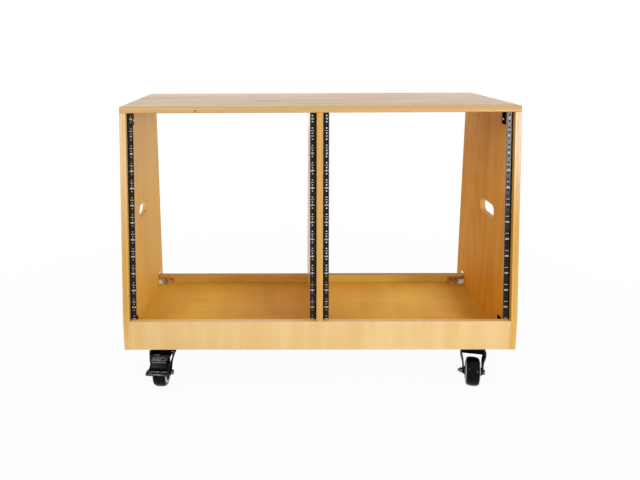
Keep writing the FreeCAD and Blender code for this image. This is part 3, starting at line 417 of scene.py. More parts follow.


# Towards the bottom, the side boards' faces are tinted warmer and their front edges darker, then paler again near the
# foot.
for side, node, outwards, start, face, figure, edge, tone_ramps in (
    ("left", "left_side_panel", -1, 23.0, ((0.90, 0.62, 0.26), (0.74, 0.46, 0.16)), 0.12,
     ((0.92, 0.68, 0.42), (0.70, 0.44, 0.20)),
     (("Z", 0.66, 0.30, (1.0, 0.94, 0.58), (0.80, 0.645, 0.27)),
      ("Z", 0.23, 0.11, (1.0, 0.92, 0.44), (0.98, 0.87, 0.64)))),
    # The right board's inner face gets deeper, more orange tones than its outer face and the left board: partly painted
    # shade, as that face is turned from the main lamp, partly the veneer's own tone.
    ("right", "right_side_panel", 1, 41.0, ((0.84, 0.44, 0.09), (0.60, 0.27, 0.035)), 0.22,
     ((0.92, 0.76, 0.56), (0.74, 0.52, 0.32)),
     (("Z", 0.66, 0.40, (1.0, 0.96, 0.75), (0.785, 0.60, 0.23)),
      ("Z", 0.34, 0.12, (1.0, 0.92, 0.44), (0.86, 0.64, 0.24)))),
):
    low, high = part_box(node)
    outline = [
        (case_front, low.z), (case_back, low.z), (case_back, shelf),
        (shelf_front, shelf), (case_front, lean_start),
    ]
    mesh = sawn([(eased(outline, SIDE_ARRIS), SIDE_ARRIS), (hand_slot(), SLOT_ROUND)], low.x, high.x)
    slot_across = [SLOT_MIDDLE.x + SLOT_LINE_ASIDE * way for way in (-1, 1)]
    slot_up = [SLOT_MIDDLE.y + SLOT_LINE_ABOVE * way for way in (-1, 1)]
    squared(mesh, (case_front + END_LINE, *slot_across, case_back - END_LINE),
            (low.z + END_LINE, lean_start, *slot_up, shelf - END_LINE))
    side_birch = birch(side + "_side_birch", "X", "Z", low.x, start, face, edge, figure=figure, lines=0.14,
                       tone_ramps=tone_ramps, back=(outwards, (0.84, 0.58, 0.26), (0.70, 0.43, 0.16)))
    fit(side + "_side_board", set_up(mesh, "X"), side_birch, "case", [node])


# Middle board: parts the two bays. It stands on the bottom board, is notched
# over the kickboard in front and over the batten behind, grain upright.

divider_low, divider_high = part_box("centre_divider")
outline = [
    (kick_high.y, floor_high.z), (batten_low.y, floor_high.z), (batten_low.y, batten_high.z),
    (case_back, batten_high.z), (case_back, shelf), (shelf_front, shelf),
    (case_front, lean_start), (kick_high.y, lean_start),
]
middle_birch = birch("middle_birch", "X", "Z", divider_low.x, 57.0, ((0.86, 0.52, 0.18), (0.68, 0.36, 0.10)),
                     ((0.75, 0.445, 0.115), (0.54, 0.247, 0.04)), polish=(0.38, 0.26))
mesh = sawn([(eased(outline, 0.8 * MM), 0.8 * MM)], divider_low.x, divider_high.x)
squared(mesh, (batten_low.y - END_LINE, case_back - END_LINE), (lean_start + END_LINE, shelf - END_LINE))
fit("middle_board", set_up(mesh, "X"), middle_birch, "case", ["centre_divider"])


# Top board: lies over the three upright boards. Its front edge is planed to
# the lean of the face, its grain runs across, and all its edges are rounded.

TOP_ARRIS = 1.4 * MM
LEAN = math.radians(7)
top_front_high = top_low.y + (top_high.z - top_low.z) * math.tan(LEAN)
outline = [
    (top_low.y, top_low.z), (case_back, top_low.z), (case_back, top_high.z), (top_front_high, top_high.z),
]
# The lowest few millimetres of the top board's edges are tinted darker: a painted shadow along the lower edge.
top_birch = birch("top_birch", "Z", "X", top_low.z, 71.0, ((0.56, 0.35, 0.15), (0.43, 0.25, 0.09)),
                  ((0.82, 0.56, 0.26), (0.48, 0.25, 0.07)), figure=0.1, polish=(0.19, 0.4),
                  tone_ramps=(("Z", top_low.z + 6 * MM, top_low.z + 2 * MM, (1, 1, 1), (0.88, 0.82, 0.74)),),
                  knots=(((-0.316, top_low.y, top_low.z + 5 * MM), 6 * MM),))
mesh = sawn([(eased(outline, TOP_ARRIS), TOP_ARRIS)], top_low.x, top_high.x)
squared(mesh, (top_front_high + END_LINE, case_back - END_LINE), ())
fit("top_board", set_up(mesh, "X"), top_birch, "case", ["top_panel"])


# Dowels: 8 mm fluted beech pins, glued blind across the joints between the
# boards. None of them shows; the model's own pins stay, in raw beech.

beech = Finish("raw_beech")
spot = beech.places()
grain = beech.cloud(beech.stretched((spot["X"], 300.0), (spot["Y"], 300.0), (spot["Z"], 300.0), 5.0), detail=4)
beech.shape(grain, 0.2, 0.1 * MM)
tone = beech.mix(beech.between(grain, 0.3, 0.7), paint(0.62, 0.4, 0.22), paint(0.45, 0.26, 0.13))
raw_beech = beech.give(Base_Color=tone, Roughness=beech.between(grain, 0.3, 0.7, 0.6, 0.75))
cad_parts["panel_dowels"].material_slots[0].material = raw_beech


# Rack rails: four folded 2 mm steel angles in black powder coat. The punched
# face looks forward behind the edge of the board, the flange runs back along
# it, its coat thin inside. Three tapped holes to a unit, numbered from below.

UNITS = 12
UNIT = 44.45 * MM
UNIT_HOLES = (6.35 * MM, 22.225 * MM, 38.1 * MM)
RAIL_END = 2 * MM
RAIL_LENGTH = UNIT * UNITS + RAIL_END * 2
RAIL_SHEET = 2 * MM
RAIL_FACE = 16.5 * MM
RAIL_FLANGE = 30 * MM
RAIL_OUTER_BEND = 3.5 * MM
RAIL_NEUTRAL_BEND = 2.5 * MM
RAIL_THREAD_CREST = 1.75 * MM
RAIL_HOLE_BEVEL = 0.6 * MM
RAIL_THREAD_DEPTH = 0.5 * MM
RAIL_HOLE_IN = 10.2 * MM
RAIL_FIXING_HOLE = 2.1 * MM
RAIL_FIXING_BACK = 18 * MM
RAIL_FIXINGS = [(33.7 + 90 * place) * MM for place in range(6)]
RAIL_CORNER = 1 * MM
RAIL_ARRIS = 0.3 * MM
RAIL_SETBACK = 14 * MM
RAIL_FOOT_GAP = 2.3 * MM
RAIL_THIN_COAT = 12 * MM
FOLD_STEPS = 6
up_the_face = Vector((0, math.sin(LEAN), math.cos(LEAN)))
into_the_face = Vector((0, math.cos(LEAN), -math.sin(LEAN)))
rail_foot = Vector((0, case_front, lean_start)) + up_the_face * RAIL_FOOT_GAP + into_the_face * RAIL_SETBACK


def punched(across, up, radius, count=20):
    """A round hole as a clockwise loop, with the sheet on its left."""
    turns = [-2 * math.pi * place / count for place in range(count)]
    return [Vector((across + math.cos(turn) * radius, up + math.sin(turn) * radius)) for turn in turns]


def fold_lines(leg, outer_bend, neutral_bend):
    """Where the bend of a sheet starts and how much of the flat sheet it takes."""
    return leg - outer_bend, neutral_bend * math.pi / 2


def folded(run, deep, leg, outer_bend, neutral_bend):
    """How far across and how far back a point of the flat sheet lies once the
    sheet is folded square at the end of its first leg."""
    flat, bend = fold_lines(leg, outer_bend, neutral_bend)
    turn = min(max((run - flat) / bend, 0), 1) * math.pi / 2
    reach = outer_bend - deep
    across = leg - run if run < flat else outer_bend - reach * math.sin(turn)
    return across, outer_bend - reach * math.cos(turn) + max(run - flat - bend, 0)


def folded_rail(fixings, place):
    """The rail cut flat, then folded. Place takes a point across, back and up."""
    fold = (RAIL_FACE, RAIL_OUTER_BEND, RAIL_NEUTRAL_BEND)
    flat, bend = fold_lines(*fold)
    flat_width = flat + bend + RAIL_FLANGE - RAIL_OUTER_BEND
    corners = [(0, 0), (flat_width, 0), (flat_width, RAIL_LENGTH), (0, RAIL_LENGTH)]
    cuts = [(eased(corners, RAIL_CORNER), RAIL_ARRIS)]
    for unit in range(UNITS):
        for rise in UNIT_HOLES:
            up = RAIL_END + unit * UNIT + rise
            cuts.append((punched(RAIL_FACE - RAIL_HOLE_IN, up, RAIL_THREAD_CREST), RAIL_HOLE_BEVEL))
    for up in fixings:
        across = flat + bend + RAIL_FIXING_BACK - RAIL_OUTER_BEND
        cuts.append((punched(across, up, RAIL_FIXING_HOLE), RAIL_ARRIS))
    mesh = sawn(cuts, 0, RAIL_SHEET, steps=2, groove=RAIL_THREAD_DEPTH, lining=1)
    scored(mesh, (1, 0, 0), [flat + bend * step / FOLD_STEPS for step in range(FOLD_STEPS + 1)])
    scored(mesh, (1, 0, 0), [flat + bend + RAIL_THIN_COAT])
    for sheet in mesh.faces:
        middle = sheet.calc_center_median()
        if middle.x > flat + bend + RAIL_THIN_COAT and middle.z > RAIL_SHEET - RAIL_ARRIS:
            sheet.material_index = 1
    return moved(mesh, lambda run, up, deep: place(*folded(run, deep, *fold), up))


def two_tone(name, patches, tones, roughness, tooth=None, bump=(0.1, 0.05), band=(0.3, 0.7),
             sheen_band=(0.3, 0.7), **surface):
    """A finish of two tones in soft patches, rougher with the second, over a
    fine tooth. Patches and tooth each give a noise's scale, detail and roughness."""
    finish = Finish(name)
    patch = finish.cloud(finish.spot(), *patches)
    finish.shape(finish.cloud(finish.spot(), *tooth) if tooth else patch, bump[0], bump[1] * MM)
    return finish.give(Base_Color=finish.mix(finish.between(patch, *band), *[paint(*tone) for tone in tones]),
                       Roughness=finish.between(patch, *sheen_band, *roughness), **surface)


powder = two_tone("black_powder_coat", (35.0, 4, 0.6), ((0.004, 0.004, 0.005), (0.009, 0.009, 0.011)), (0.17, 0.24),
                  tooth=(1500.0, 2, 0.5), bump=(0.06, 0.04), band=(0.35, 0.7), Specular_IOR_Level=0.22)
thin_coat = two_tone("thin_black_coat", (900.0, 3, 0.6), ((0.006, 0.006, 0.006), (0.014, 0.014, 0.013)), (0.5, 0.65),
                     band=(0.35, 0.7), Specular_IOR_Level=0.04)
print_white = two_tone("printed_numbers", (900.0, 3, 0.6), ((0.86, 0.86, 0.87), (0.62, 0.62, 0.63)), (0.45, 0.6),
                       band=(0.35, 0.75))

NUMBER_HEIGHT = 6.2 * MM
NUMBER_RISE = 30.16 * MM
NUMBER_WEIGHT = 0.22 * MM
PRINT_DEPTH = 0.05 * MM
PRINT_ARRIS = 0.02 * MM
UNIT_DASH = (8.5 * MM, 0.9 * MM)
SIDE_DASH = (1.8 * MM, 3.2 * MM)
SIDE_DASH_OUT = 3.6 * MM
SIDE_DASH_UNITS = 9


def printed(text, across, up):
    """A number of the rail, centred on a point of its face."""
    lettering = bpy.data.curves.new("lettering", "FONT")
    lettering.body = text
    lettering.size = NUMBER_HEIGHT
    lettering.align_x = "CENTER"
    lettering.align_y = "CENTER"
    lettering.offset = NUMBER_WEIGHT
    lettering.extrude = PRINT_DEPTH / 2
    lettering.resolution_u = 3
    holder = bpy.data.objects.new("lettering", lettering)
    flat = bpy.data.meshes.new_from_object(holder)
    mesh = bmesh.new()
    mesh.from_mesh(flat)
    bpy.data.objects.remove(holder)
    bpy.data.curves.remove(lettering)
    bpy.data.meshes.remove(flat)
    mesh.transform(Matrix.Translation((across, up, 0)))
    return mesh


def dash(across, up, length, height):
    """A printed line of the rail's scale."""
    corners = [(-1, -1), (1, -1), (1, 1), (-1, 1)]
    loop = [Vector((across + x * length / 2, up + y * height / 2)) for x, y in corners]
    return sawn([(loop, PRINT_ARRIS)], -PRINT_DEPTH / 2, PRINT_DEPTH / 2, steps=1)


def rail_print():
    """All the printing of one rail, flat: x to the right, y up the rail."""
    marks = []
    for unit in range(UNITS):
        foot = RAIL_END + unit * UNIT
        marks.append(printed(str(unit + 1), 0, foot + NUMBER_RISE))
        if unit < SIDE_DASH_UNITS:
            marks += [dash(SIDE_DASH_OUT * side, foot + NUMBER_RISE, *SIDE_DASH) for side in (-1, 1)]
        marks.append(dash(0, foot, *UNIT_DASH))
    return joined(*marks)


case_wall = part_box("left_side_panel")[1].x
for name, wall, side in (
    ("left_bay_left", case_wall, 1), ("left_bay_right", divider_low.x, -1),
    ("right_bay_left", divider_high.x, 1), ("right_bay_right", -case_wall, -1),
):
    def on_face(across, back, up):
        return rail_foot + Vector((wall + across * side, 0, 0)) + into_the_face * back + up_the_face * up

    mesh = folded_rail(RAIL_FIXINGS if side > 0 else [RAIL_LENGTH - up for up in RAIL_FIXINGS], on_face)
    rail = fit(name + "_rack_rail", mesh, powder, "case", [name + "_rail"])
    rail.data.materials.append(thin_coat)
    mesh = rail_print()
    for vert in mesh.verts:
        across, up, out = vert.co
        vert.co = on_face(RAIL_HOLE_IN + across * side, -out - PRINT_DEPTH / 2, up)
    fit(name + "_rail_numbers", mesh, print_white, "case", [], flat_faced=False)


# Wood screws: zinc-plated, domed heads with a cross recess. They hold the
# rails, the brackets and the caster plates. Those in the rear corners are darker.

HEAD_RADIUS = 3.75 * MM
HEAD_HEIGHT = 2.2 * MM
HEAD_RINGS = (0.0, 0.1, 0.2, 0.3, 0.4, 0.5, 0.6, 0.75, 0.88, 0.96, 1.0)
HEAD_STEPS = 32
SHANK_RADIUS = 1.7 * MM
SHANK_END = -11 * MM
SCREW_POINT = -14 * MM
RECESS_REACH = 2.2 * MM
RECESS_HALF = 0.5 * MM
RECESS_DEPTH = 1.2 * MM
REAR_CORNERS = 0.15


def skinned(mesh, rings, count, tone=0):
    """Faces from ring to ring of a turned piece. A ring of one point is a tip."""
    for lower, upper in zip(rings, rings[1:]):
        for here in range(count):
            after = (here + 1) % count
            corners = [lower[here % len(lower)], lower[after % len(lower)],
                       upper[after % len(upper)], upper[here % len(upper)]]
            mesh.faces.new(list(dict.fromkeys(corners))).material_index = tone
    bmesh.ops.recalc_face_normals(mesh, faces=mesh.faces)
    return mesh


def ring_turns(radius, count):
    """The turns of a ring's points: one point where it shrinks to the axis."""
    return [2 * math.pi * place / count for place in range(count if radius else 1)]


def screw_head(seat, direction, turn, tone=0):
    """A screw with its head's underside on the seat, pointing outwards, in the
    finish of that number."""
    mesh = bmesh.new()
    rings = []
    for share in HEAD_RINGS:
        radius = HEAD_RADIUS * share
        dome = HEAD_HEIGHT * (1 - share ** 2.8) ** 0.55
        ring = []
        for angle in ring_turns(share, HEAD_STEPS):
            sideways = min(abs(math.sin(angle)), abs(math.cos(angle))) * radius
            sunk = max(1 - radius / RECESS_REACH, 0) if sideways < RECESS_HALF else 0
            height = dome - RECESS_DEPTH * min(sunk * 2.2, 1)
            ring.append(mesh.verts.new((radius * math.cos(angle), radius * math.sin(angle), height)))
        rings.append(ring)
    for radius, height in ((SHANK_RADIUS, 0), (SHANK_RADIUS, SHANK_END), (0, SCREW_POINT)):
        rings.append([mesh.verts.new((radius * math.cos(angle), radius * math.sin(angle), height))
                      for angle in ring_turns(radius, HEAD_STEPS)])
    skinned(mesh, rings, HEAD_STEPS, tone)
    aim = Vector(direction).to_track_quat("Z", "Y").to_matrix().to_4x4()
    mesh.transform(Matrix.Translation(seat) @ aim @ Matrix.Rotation(turn, 4, "Z"))
    return mesh


def screw_places(node):
    """Where each screw of a node has its seat, and which way its head points."""
    whole = bmesh.new()
    whole.from_mesh(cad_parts[node].data)
    bmesh.ops.remove_doubles(whole, verts=whole.verts, dist=0.001 * MM)
    waiting = set(whole.verts)
    places = []
    while waiting:
        found = [waiting.pop()]
        screw = []
        while found:
            vert = found.pop()
            screw.append(vert.co.copy())
            beside = {edge.other_vert(vert) for edge in vert.link_edges} & waiting
            waiting -= beside
            found += beside
        low, high = [Vector([limit(spot[axis] for spot in screw) for axis in range(3)]) for limit in (min, max)]
        extent = high - low
        axis = max(range(3), key=lambda which: extent[which])
        middle = (low + high) / 2
        wide_low = sum(1 for spot in screw if spot[axis] < middle[axis])
        direction = Vector((0, 0, 0))
        direction[axis] = 1 if len(screw) - wide_low > wide_low else -1
        seat = middle.copy()
        seat[axis] = (high[axis] - HEAD_HEIGHT) if direction[axis] > 0 else (low[axis] + HEAD_HEIGHT)
        places.append((seat, direction))
    whole.free()
    places.sort(key=lambda place: tuple(round(value, 5) for value in place[0]))
    return places


zinc = two_tone("bright_zinc", (70.0, 4, 0.6), ((0.78, 0.79, 0.80), (0.58, 0.57, 0.54)), (0.24, 0.42),
                tooth=(1200.0, 3, 0.6), bump=(0.12, 0.05), Metallic=1.0)
darker_zinc = two_tone("darker_zinc", (260.0, 4, 0.6), ((0.30, 0.29, 0.28), (0.10, 0.09, 0.08)), (0.25, 0.4),
                     bump=(0.12, 0.05), Metallic=1.0)

for name, node in (("rail_fixing_screws", "rail_screws"), ("bracket_fixing_screws", "bracket_screws"),
                   ("caster_fixing_screws", "caster_screws")):
    heads = []
    for number, (seat, direction) in enumerate(screw_places(node)):
        in_corner = node == "bracket_screws" and seat.y > REAR_CORNERS
        heads.append(screw_head(seat, direction, number * 0.9, 1 if in_corner else 0))
    piece = fit(name, joined(*heads), zinc, "case", [node], flat_faced=False)
    piece.data.materials.append(darker_zinc)


# Corner brackets: three-way pressings of 2 mm zinc-plated steel in the two
# rear corners, with a tab on the batten, one on the side board and one on the
# bottom board, each with its free corners cut and eased.

CORNER_SHEET = 2 * MM
BRACKET_ARRIS = 0.35 * MM
BRACKET_HOLE = 2.1 * MM
TAB_CUT = 4 * MM
BATTEN_TAB = (48 * MM, 20 * MM, [(21.6 * MM, 12 * MM), (38.4 * MM, 12 * MM)])
SIDE_TAB = (28 * MM, 40 * MM, [(16.8 * MM, 27.2 * MM)])
FLOOR_TAB = (34 * MM, 20 * MM, [(23.12 * MM, 12 * MM)])


def tab(length, height, holes):
    """One tab with its root at the corner, cut off at its free corners."""
    corners = [(0, 0), (length, 0), (length, height - TAB_CUT), (length - TAB_CUT, height), (0, height)]
    cuts = [(eased(corners, 0.8 * MM, 2), BRACKET_ARRIS)]
    cuts += [(punched(across, up, BRACKET_HOLE, 16), BRACKET_ARRIS) for across, up in holes]
    return sawn(cuts, 0, CORNER_SHEET, steps=2)


finish = Finish("bracket_zinc")
patch = finish.cloud(finish.spot(), 55.0, 5, 0.65)
spot = finish.places()
lines = finish.cloud(finish.stretched((spot["X"], 80.0), (spot["Y"], 80.0), (spot["Z"], 1900.0), 1.0), detail=3)
finish.shape(lines, 0.15, 0.06 * MM)
tone = finish.mix(finish.between(patch, 0.3, 0.7), paint(0.86, 0.82, 0.76), paint(0.62, 0.56, 0.48))
bracket_zinc = finish.give(Base_Color=tone, Roughness=finish.between(lines, 0.3, 0.7, 0.12, 0.22), Metallic=1.0)

for side, name in ((1, "rear_left"), (-1, "rear_right")):
    low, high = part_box(name + "_bracket")
    corner = Vector((low.x if side > 0 else high.x, high.y, low.z))
    mesh = joined(
        moved(tab(*BATTEN_TAB), lambda along, up, thick: corner + Vector((along * side, -thick, up))),
        moved(tab(*SIDE_TAB), lambda along, up, thick: corner + Vector((thick * side, -along, up))),
        moved(tab(*FLOOR_TAB), lambda along, up, thick: corner + Vector((along * side, -up, thick))))
    fit(name + "_corner_bracket", mesh, bracket_zinc, "case", [name + "_bracket"])


# Elbow brackets: plain right angles of 2.5 mm steel, blackened, folded with a
# small radius, near the front on the bottom board and under the top board.

ELBOW_LEG = 40 * MM
ELBOW_WIDTH = 25 * MM
ELBOW_SHEET = 2.5 * MM
ELBOW_BEND = 4 * MM
ELBOW_CORNER = 4 * MM
ELBOW_HOLE_OUT = 26 * MM
ELBOW_FOLD = (ELBOW_LEG, ELBOW_BEND, ELBOW_BEND - ELBOW_SHEET / 2)

finish = Finish("black_steel")
scuff = finish.cloud(finish.spot(), 120.0, 5, 0.65)
grit = finish.cloud(finish.spot(), 1400.0, 2, 0.5)
finish.shape(grit, 0.06, 0.05 * MM)
# Edges lightened to pale grey: partly worn paint, partly a painted highlight that outlines the pressings and the
# pedal's frames.
tone = finish.mix(finish.worn_and_highlit_edges(0.7 * MM, scuff), paint(0.004, 0.004, 0.005), paint(0.36, 0.36, 0.39))
black_steel = finish.give(Base_Color=tone, Roughness=finish.between(scuff, 0.3, 0.7, 0.2, 0.3), Metallic=1.0,
                          Specular_Tint=paint(0.06, 0.06, 0.07))

for side, rise, name in ((1, 1, "front_left"), (-1, 1, "front_right"), (1, -1, "top_left"), (-1, -1, "top_right")):
    low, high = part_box(name + "_bracket")
    corner = Vector((low.x if side > 0 else high.x, low.y, low.z if rise > 0 else high.z))
    flat, bend = fold_lines(*ELBOW_FOLD)
    length = flat * 2 + bend
    hole_in = ELBOW_LEG - ELBOW_HOLE_OUT
    corners = [(0, 0), (length, 0), (length, ELBOW_WIDTH), (0, ELBOW_WIDTH)]
    cuts = [(eased(corners, ELBOW_CORNER, 5), BRACKET_ARRIS)]
    cuts += [(punched(along, ELBOW_WIDTH / 2, BRACKET_HOLE, 18), BRACKET_ARRIS)
             for along in (hole_in, length - hole_in)]
    mesh = sawn(cuts, 0, ELBOW_SHEET, steps=2)
    scored(mesh, (1, 0, 0), [flat + bend * step / FOLD_STEPS for step in range(FOLD_STEPS + 1)])

    def in_corner(run, width, deep):
        across, up = folded(run, deep, *ELBOW_FOLD)
        return corner + Vector((across * side, width, up * rise))

    fit(name + "_elbow_bracket", moved(mesh, in_corner), black_steel, "case", [name + "_bracket"])


# Caster plates: black pressed steel, 60 mm square with cut corners, screwed
# under the bottom board. The upper race hangs from each as a turned ring.

CASTERS = (
    ("front_left", -5, True), ("front_right", -13, False), ("rear_left", 180, False), ("rear_right", 175, True),
)
GROUND_TO_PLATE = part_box("front_left_caster_plate")[1].z
PLATE_HALF = 30 * MM
PLATE_SHEET = 2.5 * MM
PLATE_CORNER = 8 * MM
PLATE_HOLE = 2.3 * MM
PLATE_HOLE_OUT = 22 * MM
RIVET_HOLE = 5.1 * MM


def lathe(profile, count=64):
    """A turned piece from points of radius and height, in millimetres. A profile
    that doesn't start and end on the axis closes on itself, as a ring does."""
    mesh = bmesh.new()
    rings = []
    for radius, height in profile:
        rings.append([
            mesh.verts.new((radius * MM * math.cos(turn), radius * MM * math.sin(turn), height * MM))
            for turn in ring_turns(radius, count)
        ])
    if profile[0][0] and profile[-1][0]:
        rings.append(rings[0])
    return skinned(mesh, rings, count)


def under(corner, turn=0.0):
    """The place under a caster's pivot, turned about it by so many degrees."""
    low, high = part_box(corner + "_caster_plate")
    pivot = Vector(((low.x + high.x) / 2, (low.y + high.y) / 2, 0))
    return Matrix.Translation(pivot) @ Matrix.Rotation(math.radians(turn), 4, "Z")


def fit_under_all(part, shape, finish, body, node, offset=Matrix(), braked=None, flat_faced=True):
    """Fits the same piece under every caster, or under those with or without a
    brake only. A piece that rides on the case isn't turned with its fork."""
    for corner, turn, has_brake in CASTERS:
        if braked in (None, has_brake):
            home, turn = (body, 0) if body == "case" else (corner + "_" + body, turn)
            piece = fit(corner + "_" + part, shape, finish, home, [corner + "_" + node],
                        under(corner, turn) @ offset, flat_faced)
            shape = piece.data


corners = [(-PLATE_HALF, -PLATE_HALF), (PLATE_HALF, -PLATE_HALF), (PLATE_HALF, PLATE_HALF), (-PLATE_HALF, PLATE_HALF)]
cuts = [(eased(corners, PLATE_CORNER, 6), 0.5 * MM)]
cuts += [(punched(PLATE_HOLE_OUT * x, PLATE_HOLE_OUT * y, PLATE_HOLE, 18), 0.4 * MM) for x in (-1, 1) for y in (-1, 1)]
cuts.append((punched(0, 0, RIVET_HOLE, 24), 0.3 * MM))
plate = sawn(cuts, GROUND_TO_PLATE - PLATE_SHEET, GROUND_TO_PLATE, steps=2)
race = lathe([(5.2, 99.45), (5.2, 97.2), (10, 97.2), (12.4, 96.1), (21.6, 96.1), (23.6, 96.8), (24, 98.2),
              (23.4, 99.45)])
fit_under_all("top_plate", joined(plate, race), black_steel, "case", "caster_plate")


# Kingpins: blackened steel rivets through the plates. Each carries its fork on
# the underside of a domed head and lets it turn.

rivet = lathe([(0, 89.6), (3.2, 89.62), (6, 89.9), (8, 90.5), (8.9, 91.4), (8.9, 92.1), (8.4, 92.48), (5, 92.48),
               (5, 101.6), (4.6, 101.9), (0, 101.95)], 32)
fit_under_all("pivot_rivet", rivet, black_steel, "case", "kingpin", flat_faced=False)


# Forks: pressed from 3 mm steel and painted black. A flat crown with a rounded
# back turns under the race; two legs, flanged in front, draw in at the knee to
# round feet at the axle. The forks without a brake have an apron in front.
# Casters are sized in millimetres, back being negative in front of the pivot.

KNEE_LOW = 57.5
KNEE_HIGH = 83.7
AXLE_UP = 37.5
TRAIL = 36.0
FORK_TOP = 95.7
CROWN_SHEET = 3.0
CROWN_STEPS = 24
LEG_SHEET = 2.5
LEG_OUT_TOP = 31.0
LEG_OUT_AXLE = 25.0
SHOULDER = 4.0
FOOT = 11.0
FOOT_FLATNESS = 0.72
PIN_BACK = -22.0
PIN_UP = 84.0
PIN_HOLE = 3.06
APRON_LOW = 83.2
APRON_HIGH = 95.2
APRON_HALF = 28.4


def leg_reach(up):
    """How far out a leg's outer face is at a height."""
    share = min(max((up - KNEE_LOW) / (KNEE_HIGH - KNEE_LOW), 0), 1)
    share = share * share * (3 - 2 * share)
    reach = LEG_OUT_AXLE + (LEG_OUT_TOP - LEG_OUT_AXLE) * share
    rise = max(up - (FORK_TOP - SHOULDER), 0)
    return reach - (SHOULDER - math.sqrt(max(SHOULDER ** 2 - rise ** 2, 0)))


def pressed_loop(corners, radius, steps):
    """An outline given in millimetres, with its corners eased."""
    return eased([(across * MM, up * MM) for across, up in corners], radius * MM, steps)


def bored(back, up, radius, count):
    """A round hole given in millimetres."""
    return punched(back * MM, up * MM, radius * MM, count)


def fork_leg(side, braked):
    corners = [(18, FORK_TOP), (-30, FORK_TOP), (-33.5, 84), (-43, 56), (-46.8, 42)]
    for turn in range(-180, -45, 15):
        angle = math.radians(turn)
        corners.append((-TRAIL + FOOT * math.cos(angle), AXLE_UP + FOOT * FOOT_FLATNESS * math.sin(angle)))
    corners += [(-22, 46), (-6, 68), (12, 84.5), (18, 88)]
    cuts = [(pressed_loop(corners, 2.2, 3), 0.5 * MM), (bored(-TRAIL, AXLE_UP, 4.15, 28), 0.3 * MM)]
    if braked:
        cuts.append((bored(PIN_BACK, PIN_UP, PIN_HOLE, 24), 0.2 * MM))
    front = [(-30.3, 93), (-33.6, 84), (-43.1, 56), (-46.4, 44)]
    lip = front + [(back + 2.4, up) for back, up in reversed(front)]
    flange = sawn([(pressed_loop(lip, 0.8, 2), 0.5 * MM)], -2 * MM, 0.6 * MM, steps=2)
    mesh = joined(sawn(cuts, 0, LEG_SHEET * MM, steps=2), flange)
    levels = [KNEE_LOW + (KNEE_HIGH - KNEE_LOW) * step / 8 for step in range(9)]
    levels += [FORK_TOP - SHOULDER * share for share in (0.05, 0.15, 0.3, 0.5, 0.75, 1.0)]
    scored(mesh, (0, 1, 0), [level * MM for level in levels])
    return moved(mesh, lambda back, up, deep: (side * (leg_reach(up / MM) * MM - deep), back, up))


def fork_crown():
    half = LEG_OUT_TOP - SHOULDER + 0.6
    start = math.acos(half / LEG_OUT_TOP)
    corners = [(-half, -30), (half, -30)]
    for step in range(CROWN_STEPS + 1):
        turn = start + (math.pi - 2 * start) * step / CROWN_STEPS
        corners.append((LEG_OUT_TOP * math.cos(turn), LEG_OUT_TOP * math.sin(turn)))
    loop = [Vector((across * MM, back * MM)) for across, back in corners]
    cuts = [(loop, 0.7 * MM), (bored(0, 0, 12, 48), 0.4 * MM)]
    crown = sawn(cuts, (FORK_TOP - CROWN_SHEET) * MM, FORK_TOP * MM, steps=2)
    return joined(crown, lathe([(5.15, 92.8), (8, 92.8), (10, 92.9), (12.3, 93.2), (12.3, 95.2), (10.5, 95.1),
                                (8.5, 95.5), (5.15, 95.5)]))


def fork_apron():
    corners = [(APRON_LOW, -APRON_HALF), (APRON_HIGH, -APRON_HALF), (APRON_HIGH, APRON_HALF), (APRON_LOW, APRON_HALF)]
    return set_up(sawn([(pressed_loop(corners, 2.4, 4), 0.5 * MM)], -30 * MM, -27.5 * MM, steps=2), "Y")


for braked in (True, False):
    parts = [fork_crown(), fork_leg(-1, braked), fork_leg(1, braked)]
    mesh = joined(*parts) if braked else joined(*parts, fork_apron())
    fit_under_all("steel_fork", mesh, black_steel, "swivel", "fork", braked=braked)


# Wheels: a glossy black tyre moulded round a core. The tread is nearly flat
# with round shoulders and a faint mould line; the core has a pale grey rim
# that stands out on each side, and a dark web with ribs round a long hub.

RIBS = 6
RIM_IN = 21.3 * MM
RIM_OUT = 21.9 * MM

rubber = two_tone("black_tyre", (90.0, 5, 0.65), ((0.0015, 0.0015, 0.0015), (0.004, 0.004, 0.004)), (0.09, 0.14),
                  tooth=(1100.0, 2, 0.5), bump=(0.05, 0.04), band=(0.45, 0.75), sheen_band=(0.35, 0.7),
                  Specular_IOR_Level=0.09)

finish = Finish("grey_core")
mottle = finish.cloud(finish.spot(), 220.0, 4, 0.6)
finish.shape(mottle, 0.12, 0.08 * MM)
spot = finish.places()
out = finish.sum("SQRT", finish.sum("MULTIPLY_ADD", spot["X"], spot["X"], finish.sum("MULTIPLY", spot["Y"], spot["Y"])))
mottled = finish.between(mottle, 0.3, 0.7)
pale = finish.mix(mottled, paint(0.62, 0.62, 0.60), paint(0.48, 0.48, 0.47))
dark = finish.mix(mottled, paint(0.05, 0.05, 0.05), paint(0.025, 0.025, 0.025))
grey_core = finish.give(Base_Color=finish.mix(finish.between(out, RIM_IN, RIM_OUT), dark, pale),
                        Roughness=finish.between(mottle, 0.3, 0.7, 0.42, 0.56))


def mirrored(profile):
    return profile + [(radius, -height) for radius, height in reversed(profile)]


at_the_axle = Matrix.Translation((0, -TRAIL * MM, AXLE_UP * MM)) @ Matrix.Rotation(math.pi / 2, 4, "Y")
tread = mirrored([(28.1, 14.9), (28.6, 16.3), (30.0, 16.9), (31.6, 16.7), (33.2, 15.9), (34.6, 14.6), (35.7, 12.8),
                  (36.5, 10.6), (37.05, 7.8), (37.4, 4.4), (37.5, 0.8), (37.38, 0.25)])
fit_under_all("black_tyre", lathe(tread, 96), rubber, "wheel", "tyre", at_the_axle, flat_faced=False)

